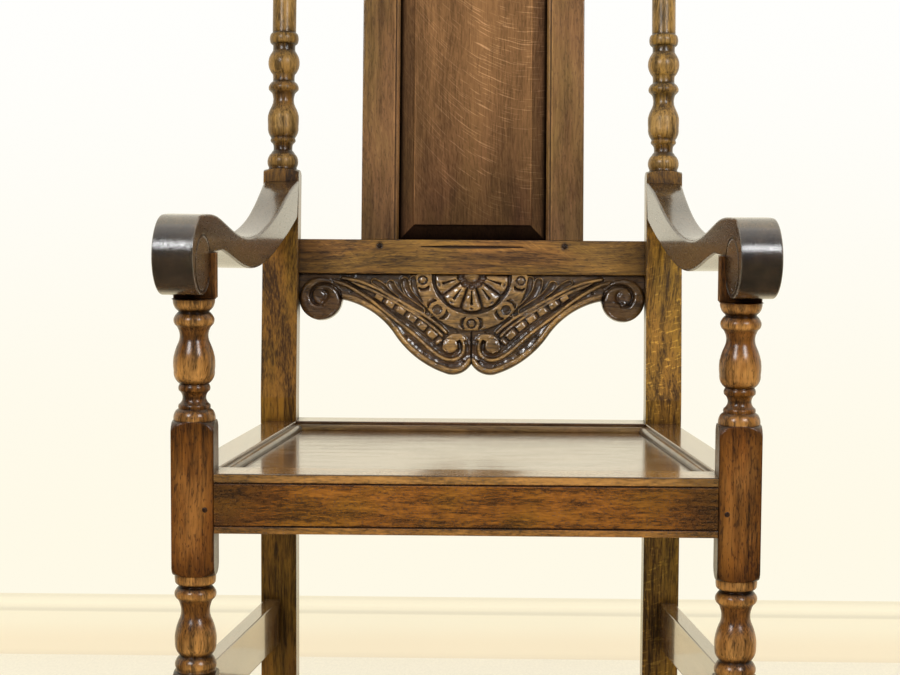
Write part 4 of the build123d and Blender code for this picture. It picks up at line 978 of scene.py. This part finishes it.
# %% Cuts
def path_distance(x, d, path):
    """Distance to a path, distance along it, and side (+1 towards the rail)."""
    best = np.full(x.shape, 1e9)
    along = np.zeros(x.shape)
    side = np.ones(x.shape)
    run = 0.0
    for (ax, ad), (bx, bd) in zip(path[:-1], path[1:]):
        vx, vd = bx - ax, bd - ad
        length = math.hypot(vx, vd) or 1e-6
        share = np.clip(((x - ax) * vx + (d - ad) * vd) / length**2, 0, 1)
        gap_x, gap_d = x - ax - share * vx, d - ad - share * vd
        gap = np.hypot(gap_x, gap_d)
        nearer = gap < best
        best = np.where(nearer, gap, best)
        along = np.where(nearer, run + share * length, along)
        side = np.where(nearer, np.sign(vx * gap_d - vd * gap_x), side)
        run += length
    return best, along, -side


def fall(value, start, length):
    """0 up to a start, then rising to 1 over a length."""
    return np.clip((value - start) / length, 0, 1)


def eased(value, start, end):
    t = fall(value, start, end - start)
    return t * t * (3 - 2 * t)


def ridge(gap, half, crest, foot=-4.6):
    """A rounded ridge over a path."""
    return crest + (foot - crest) * fall(gap, 0, half)**2


def gouge(depth, gap, half, bottom, rise):
    """A round-bottomed cut along a path."""
    return np.minimum(depth, np.where(gap < half, bottom + rise * (gap / half)**2, 0))

# %% [markdown]
# ## The lunette
# A half sunflower of five petals stands on the rail, each petal with a V-cut notch and a dimple at its tip.
# Round it runs a band with sunk studs between pairs of curved cuts.

# %% Lunette
petal_turn, band_middle, band_inner, band_outer = 36, 60.3, 48.6, 68.8
studs = ((0, 10.2, -1.7), (44, 10.6, -3.2), (83, 10.0, -1.7))


def petals(x, d, r):
    turn = np.degrees(np.arctan2(x, np.maximum(d, 1e-6)))
    lean = np.radians(turn - petal_turn * np.clip(np.round(turn / petal_turn), 0, 2))
    sideways, forward = np.abs(r * np.sin(lean)), r * np.cos(lean)
    tip = 12.9 * np.sqrt(np.clip(1 - ((forward - 40.5) / 5.0)**2, 0, 1))
    half = np.where(forward < 40.5, forward * 0.325 - 0.2, tip)
    t = fall(sideways, 0, np.maximum(half, 0.1))
    inside = (sideways < half) & (forward > 15) & (forward < 45.4)
    depth = np.where(inside, -0.4 - 1.9 * t**4 - 0.9 * t**2 - 1.2 * fall(forward, 40, 5.5)**2, -5.2)
    seam = (sideways > half - 0.4) & (forward < 43) & (forward > 15)
    depth = np.where(seam, np.minimum(depth, -3.8), depth)
    notch_half = fall(forward, 19, 18) * 2.1
    notched = inside & (forward > 20) & (forward < 37.5) & (sideways < notch_half)
    notch = -3.4 * (1 - sideways / np.maximum(notch_half, 0.1)) - 0.6
    depth = np.where(notched, np.minimum(depth, notch), depth)
    dimple = np.hypot(sideways / 3.4, (forward - 42) / 1.7)
    depth = np.where(inside & (dimple < 1), np.minimum(depth, -0.8 - 2.2 * (1 - dimple)), depth)
    scoop = np.hypot(sideways, forward - 14.2) / 4.6
    scooped = (scoop < 1) | ((forward > 9.6) & (forward < 15))
    depth = np.where(scooped, np.minimum(-6.2 * (1 - 0.45 * scoop**2), -2.2), depth)
    return np.where(r < 9.8, -0.3 - 2.2 * (r / 9.8)**2, depth)


def lunette(x, d, ground):
    r = np.hypot(x, d)
    band = -0.9 - 0.8 * (1 - fall(r, band_inner, 1.2)) - 0.8 * fall(r, band_outer - 1.2, 1.2)
    for angle, near, hollow in studs:
        bearing = math.radians(angle)
        q = np.hypot(x - band_middle * math.sin(bearing), d - band_middle * math.cos(bearing))
        head = np.where(q < 4.1, hollow + 0.6 * (1 - q / 4.1), -2.9)
        band = np.where(q < 5.9, np.minimum(band, head), band)
        cut = (q > near) & (q < near + 5.2) & (np.abs(r - band_middle) < 7.4 - 0.5 * (q - near))
        band = np.where(cut, np.minimum(band, -4.3 + 0.66 * (q - near)), band)
    return np.where(r < band_outer, np.where(r > band_inner, band, petals(x, d, r)), ground)

# %% [markdown]
# ## The whole face
# The other rules are laid over one another in the order in which the carver would clean them up: ground and
# leaves, the cove and its two ribs, the ladder, the lunette, the curl with its eye, the roll along the hem
# with its punched dots, and last the volutes.

# %% Depth of the carved face
curl_middle, eye_middle, volute_pattern_middle = (18.8, 88.6), (25.3, 86.8), (184.9, 30.5)
rung_pitch, rung_share, roll_crest = 15.9, 0.36, 4.8


def volute_face(x, d, out, centre, volute):
    spread = volute / 25.8
    vx, vd = ((at - middle) / spread + drawn
              for at, middle, drawn in zip((x, d), centre, volute_pattern_middle))
    groove_gap, groove_run, _ = path_distance(vx, vd, volute_groove)
    face = -0.5 - 2.6 * fall(out, volute - 5.5, 5.5)**2
    face -= 4.4 * np.exp(-(groove_gap / 2.0)**2) * eased(88 - groove_run, 0, 30)
    face -= 2.6 * np.exp(-(path_distance(vx, vd, volute_eye_groove)[0] / 2.4)**2)
    return face - 1.1 * np.exp(-(np.hypot(vx - 181, vd - 27) / 9.5)**4)


def apron_depth(x, d, hem, volute, size):
    """Depth of the face at x >= 0 and d; size shrinks the pattern for the lower cresting."""
    dd = d / size
    depth = -4.6 + 0.12 * np.sin(x * 0.9 + dd * 0.4)
    for path, width in leaves:
        gap = path_distance(x, dd, path)[0]
        rim = np.where(gap < width + 1.7, np.maximum(-1.0 - 3.6 * fall(gap, width, 1.7)**2, depth), depth)
        depth = np.where(gap < width, -4.4 + 3.4 * (gap / width)**3, rim)
    hem_gap = path_distance(x, d, hem)[0]
    rib_gap, _, rib_side = path_distance(x, dd, rib_path)
    quirk_gap, quirk_along, _ = path_distance(x, dd, quirk_path)
    below_rib = (rib_side > 0) & (dd < 103) | (hem_gap < 16)
    cove = -3.0 - 0.7 * np.sin(fall(hem_gap, 9, 7) * math.pi)
    depth = np.where(below_rib & (x < 160), cove, depth)
    for path, crest in ((high_rib, -0.6), (low_rib, -0.9)):
        depth = np.maximum(depth, ridge(path_distance(x, dd, path)[0], 3.0, crest))
    gap, run, _ = path_distance(x, dd, ladder_path)
    step = ((run + 5) / rung_pitch) % 1
    rung = np.where(step < rung_share, -4.2 + 3.3 * step / rung_share, -0.8 - 0.5 * (step - rung_share))
    wide = 3.3 + 1.6 * fall(run, 0, 100)
    on_ladder = (gap < wide) & (run > 0.5) & (run < ladder_length - 0.5)
    depth = np.where(on_ladder, np.maximum(rung - 0.9 * (gap / wide)**4, -4.4), depth)
    depth = lunette(x / size, dd, depth)
    curl = np.hypot(x - curl_middle[0], dd - curl_middle[1])
    curled = np.maximum(depth, -0.6 - 1.4 * fall(curl, 13, 3.6)**2)
    depth = np.where((curl < 16.6) & (dd > 70), curled, depth)
    depth = gouge(depth, path_distance(x, dd, curl_hollow)[0], 3.2, -3.8, 2.6)
    quirk_half = 1.9 + 1.9 * eased(quirk_along, quirk_length - 75, quirk_length - 35)
    depth = gouge(depth, quirk_gap, quirk_half, -5.8, 2.6)
    depth = np.maximum(depth, np.where(rib_gap < 3.0, ridge(rib_gap, 2.7, -0.1, -3.6), -9))
    eye = np.hypot(x - eye_middle[0], dd - eye_middle[1])
    depth = np.where(eye < 8.8, -0.4 - 1.2 * (eye / 8.8)**6 - 0.06 * (x - eye_middle[0]), depth)
    for dot_x, dot_d in hem_dots:
        depth = gouge(depth, np.hypot(x - dot_x, dd - dot_d), 2.2, -5.2, 1.4)
    crest_gap = (hem_gap - roll_crest) / np.where(hem_gap < roll_crest, roll_crest, 3.6)
    roll = -0.1 - 3.7 * np.minimum(np.abs(crest_gap), 1.3)**2
    depth = np.where((hem_gap < 8.6) & (x < 162), np.maximum(depth, roll), depth)
    depth = np.where(hem_gap < roll_crest, roll, depth)
    centre = (board_half - volute, volute_gap + volute)
    out = np.hypot(x - centre[0], d - centre[1])
    depth = np.where((out < volute) & (x > 156), volute_face(x, d, out, centre, volute), depth)
    depth = np.where((out >= volute) & (x > 172) & (d < centre[1]), -4.4, depth)
    return depth - 2.6 * np.clip(1 - x / 1.3, 0, 1) * (dd > 70)

# %% [markdown]
# ## The carved boards as meshes
# A grid is laid over the board: columns across it, and rows that always run from the rail to the lower edge,
# so that the last row follows the sawn outline exactly. Each grid point is pushed in by the pattern's depth.
# Walls and a flat back close the piece. The depth is also kept as an attribute, so that the material can
# darken the hollows and brighten the ribs: worn wood and wax, together with painted shade in the hollows and
# a painted highlight on the ribs.

# %% Carved board mesh
def in_back(x, forward, up):
    """From the raked frame of the back, in millimetres, to the chair, in metres."""
    y = seat_depth + forward * math.cos(rake) + up * math.sin(rake)
    z = bend_height - forward * math.sin(rake) + up * math.cos(rake)
    return np.stack([x / 1000, y / 1000 + leg_axis_y, z / 1000], -1).reshape(-1, 3)


def tool_marks(x, d, cell, seed):
    """Smooth random unevenness of hand work, between -1 and 1."""
    table = np.random.default_rng(seed).uniform(-1, 1, (200, 200))
    u, v = (x + board_half + 5) / cell, (d + 5) / cell
    i, j = u.astype(int), v.astype(int)
    a, b = (share * share * (3 - 2 * share) for share in (u - i, v - j))
    low = table[i, j] * (1 - a) + table[i + 1, j] * a
    high = table[i, j + 1] * (1 - a) + table[i + 1, j + 1] * a
    return low * (1 - b) + high * b


def board_faces(columns, rows):
    """Front grid, flat back, the walls along both edges, and the two ends."""
    start, last = columns * rows, (columns - 1) * rows
    faces = []
    for i in range(columns - 1):
        for j in range(rows - 1):
            a = i * rows + j
            faces.append((a, a + 1, a + rows + 1, a + rows))
        b = start + 2 * i
        faces.append((b, b + 2, b + 3, b + 1))
        faces.append((i * rows, (i + 1) * rows, b + 2, b))
        faces.append(((i + 1) * rows - 1, b + 1, b + 3, (i + 2) * rows - 1))
    faces.append(tuple(range(rows))[::-1] + (start, start + 1))
    faces.append(tuple(range(last, last + rows)) + (start + 2 * columns - 1, start + 2 * columns - 2))
    return faces


def relief_wear_and_light(where):
    x, y, z = split(where)
    # Ribs rubbed golden and hollows left dark: wear and wax, with a painted highlight on the ribs and painted
    # shade in the hollows.
    high = ramp(kept(where, "relief"), 0.45, 0.95) * uneven(where, 0.30, 0.60, 0.45, (70, 70, 70))
    return high * ramp(abs(x), 0.165, 0.145, 0.12, 1.0)


carved_oak = oak("carved_oak", "across", (0.030, 0.014, 0.005), (0.12, 0.060, 0.020), band=0.012,
                 offset=(0.6, 0.1, 0.5), wear=relief_wear_and_light, worn=(0.36, 0.198, 0.055), dulling=0.0, grime_and_shade=0.9,
                 reach=0.005, coat=0.85, haze=0.15, ior=1.7)


def carved_board(name, node, depth, volute, edge, upwards, columns, rows, size):
    outline_edge, hem = board_outline(depth, volute)
    outline = np.array(outline_edge + hem[1:])
    outline = outline[np.argsort(outline[:, 0])]
    xs = np.linspace(-board_half, board_half, columns)
    lower = np.interp(np.abs(xs), outline[:, 0], outline[:, 1])[:, None]
    grid_x = np.repeat(xs[:, None], rows, 1)
    grid_d = lower * np.linspace(0, 1, rows)
    carved = apron_depth(np.abs(grid_x), grid_d, np.array(hem), volute, size)
    carved = carved + 0.28 * tool_marks(grid_x, grid_d, 5.0, 11) + 0.16 * tool_marks(grid_x, grid_d, 2.6, 12)
    carved = np.clip(carved, -6.2, 0)
    sign = 1 if upwards else -1
    front = in_back(grid_x, board_face - carved, edge + sign * grid_d)
    back = in_back(np.repeat(xs[:, None], 2, 1), np.full((columns, 2), board_face + board_thick),
                   edge + sign * lower * np.array([0.0, 1.0]))
    relief = np.append(np.clip(1 + carved.ravel() / 5.0, 0, 1), np.full(len(back), 0.6))
    mesh = new_mesh(name, np.vstack([front, back]), board_faces(columns, rows), carved_oak, 50, relief=relief)
    add_piece(name, mesh, node)


carved_board("apron_carving", "carved_apron", 122.0, 25.8, 151.0, False, 469, 150, 1.0)
carved_board("crest_carving", "carved_crest", 90.0, 24.0, 671.0, True, 401, 100, 90 / 122)

# %% [markdown]
# ## Floor and backdrop
# The room is only hinted at: a pale floor and a white wall with a low skirting. The wall shines white for
# the camera and for reflections, but it gives no light of its own to the wood. Seen from behind, it is
# clear.

# %% Paint for the room
def skirting_shade(x, y, z):
    """The bead along the top of the skirting: a thin painted shade above it, a deeper one below it, a painted
    highlight on it, and painted shade along the floor.
    """
    bead = stops(z, [(40, 1.0), (65.5, 1.0), (68, 0.86), (70, 0.86), (73, 0.97), (79, 1.05), (85, 1.0),
                     (88, 0.93), (90, 0.95)])
    return bead * ramp(z, 0.0, 0.010, 0.95, 1.0)


def floor_shade(x, y, z):
    """Fine speckle of a painted screed, which fades out far from the chair."""
    where = combine(x, y)
    far = ramp(vector_maths("LENGTH", where), 2.5, 12.0)
    grain = ramp(noise(where, (260, 90, 1), 3.0, 0.65), 0.30, 0.70, 0.965, 1.02)
    return mix(far, grain, (1.12, 1.20, 1.46))


def stage_material(name, low_colour, high_colour, low_z, high_z, glow, clear_back=True, dim_front=False,
                   shade=None):
    material, where = new_material(name)
    tree = where.tree
    x, y, z = split(where)
    colour = mix(ramp(z, low_z, high_z), low_colour, high_colour)
    if shade:
        colour = tint(colour, shade(x, y, z))
    path = wires(place(tree, "LightPath"))
    matt = wire(tree, "BsdfDiffuse", {0: colour})
    bright = wire(tree, "Emission", {0: colour, 1: 1.0})
    surface = wire(tree, "MixShader", {0: path["Is Camera Ray"] * glow, 1: matt, 2: bright})
    level = ramp(y, leg_axis_y + 0.15, leg_axis_y + 0.75, 0.07, 1.0) if dim_front else 1.0
    mirrored = wire(tree, "Emission", {0: tint(colour, (1.0, 0.94, 0.80)), 1: level})
    glossy = both(path["Is Glossy Ray"], path["Is Transmission Ray"])
    surface = wire(tree, "MixShader", {0: glossy, 1: surface, 2: mirrored})
    if clear_back:
        behind = wire(tree, "NewGeometry", output="Backfacing")
        surface = wire(tree, "MixShader", {0: behind, 1: surface, 2: wire(tree, "BsdfTransparent")})
    place(tree, "OutputMaterial", {0: surface})
    return material

# %% [markdown]
# ## The sheets of the room
# Floor and wall are one face each. The skirting is a profile of a few points, drawn along the wall.

# %% Room
wall_y, wall_height, room_half = leg_axis_y + 1.07, 6, 15
floor_colour = (0.97, 0.90, 0.72)
skirting_profile = [(0.0, 0.0), (-0.018, 0.0), (-0.018, 0.068), (-0.013, 0.076), (-0.012, 0.081),
                    (-0.006, 0.088), (0.0, 0.09)]


def stage_sheet(name, profile, material):
    """Faces along x between the points of a (y, z) profile."""
    mesh = bpy.data.meshes.new(name)
    points = [(x, y, z) for x in (-room_half, room_half) for y, z in profile]
    count = len(profile)
    mesh.from_pydata(points, [], [(i, count + i, count + i + 1, i + 1) for i in range(count - 1)])
    mesh.materials.append(material)
    sheet = bpy.data.objects.new(name, mesh)
    scene.collection.objects.link(sheet)
    print(name, "faces", len(mesh.polygons), "looking along",
          tuple(round(v) for v in mesh.polygons[0].normal))


stage_sheet("floor", [(-room_half, 0), (room_half, 0)], stage_material(
    "floor_paint", floor_colour, floor_colour, 0, 1, 0.75, clear_back=False, dim_front=True,
    shade=floor_shade))
stage_sheet("wall", [(wall_y, 0), (wall_y, wall_height)], stage_material(
    "wall_paint", (1.0, 0.955, 0.80), (1.0, 1.0, 0.985), 0.1, 1.1, 1.0))
stage_sheet("skirting", [(wall_y + y, z) for y, z in skirting_profile], stage_material(
    "skirting_paint", (0.97, 0.84, 0.60), (0.99, 0.90, 0.67), 0.02, 0.06, 0.85, shade=skirting_shade))

# %% [markdown]
# ## Light
# Two lamps hang over the chair, a little in front of it, and make the pair of small highlights on every
# bulb. A broad soft lamp behind the camera and the pale surroundings do the rest. In reflections the
# surroundings are bright above and behind the chair and dim in front of it, as in a room with a white wall.

# %% Light
world = bpy.data.worlds.new("studio_world")
scene.world = world
world.use_nodes = True
sky = world.node_tree
sky.nodes.clear()
x, y, z = split(wire(sky, "TexCoord", output="Generated"))
mirror_level = both(ramp(y, -0.20, 0.15), ramp(z, 0.60, 0.98, 0.03, 0.6))
path = wires(place(sky, "LightPath"))
soft = wire(sky, "Background", {0: (1.0, 0.975, 0.93), 1: 0.62})
mirrored = wire(sky, "Background", {0: (1.0, 0.985, 0.95), 1: mirror_level})
seen = wire(sky, "Background", {0: (1.0, 1.0, 0.985), 1: 1.0})
mixed = wire(sky, "MixShader", {0: both(path["Is Glossy Ray"], path["Is Transmission Ray"]), 1: soft,
                                2: mirrored})
mixed = wire(sky, "MixShader", {0: path["Is Camera Ray"], 1: mixed, 2: seen})
place(sky, "OutputWorld", {0: mixed})


def lamp(name, place_at, aim_height, size, power, shows=True):
    """A round soft lamp aimed at a height over the frame's own origin."""
    data = bpy.data.lights.new(name, "AREA")
    data.shape = "DISK"
    data.size = size
    data.energy = power
    data.color = (0.98, 0.99, 1.0)
    holder = bpy.data.objects.new(name, data)
    holder.location = place_at
    aim = Vector((0, 0, aim_height)) - Vector(place_at)
    holder.rotation_euler = aim.to_track_quat("-Z", "Y").to_euler()
    holder.visible_glossy = shows
    scene.collection.objects.link(holder)
    print(name, power, "W, diameter", size, "m")


lamp("lamp_left", (-1.50, leg_axis_y - 2.20, 2.20), 0.65, 0.90, 38)
lamp("lamp_right", (1.50, leg_axis_y - 2.20, 2.20), 0.65, 0.90, 38)
lamp("lamp_front", (0.2, -3.3, 1.9), 0.6, 1.8, 10, shows=False)
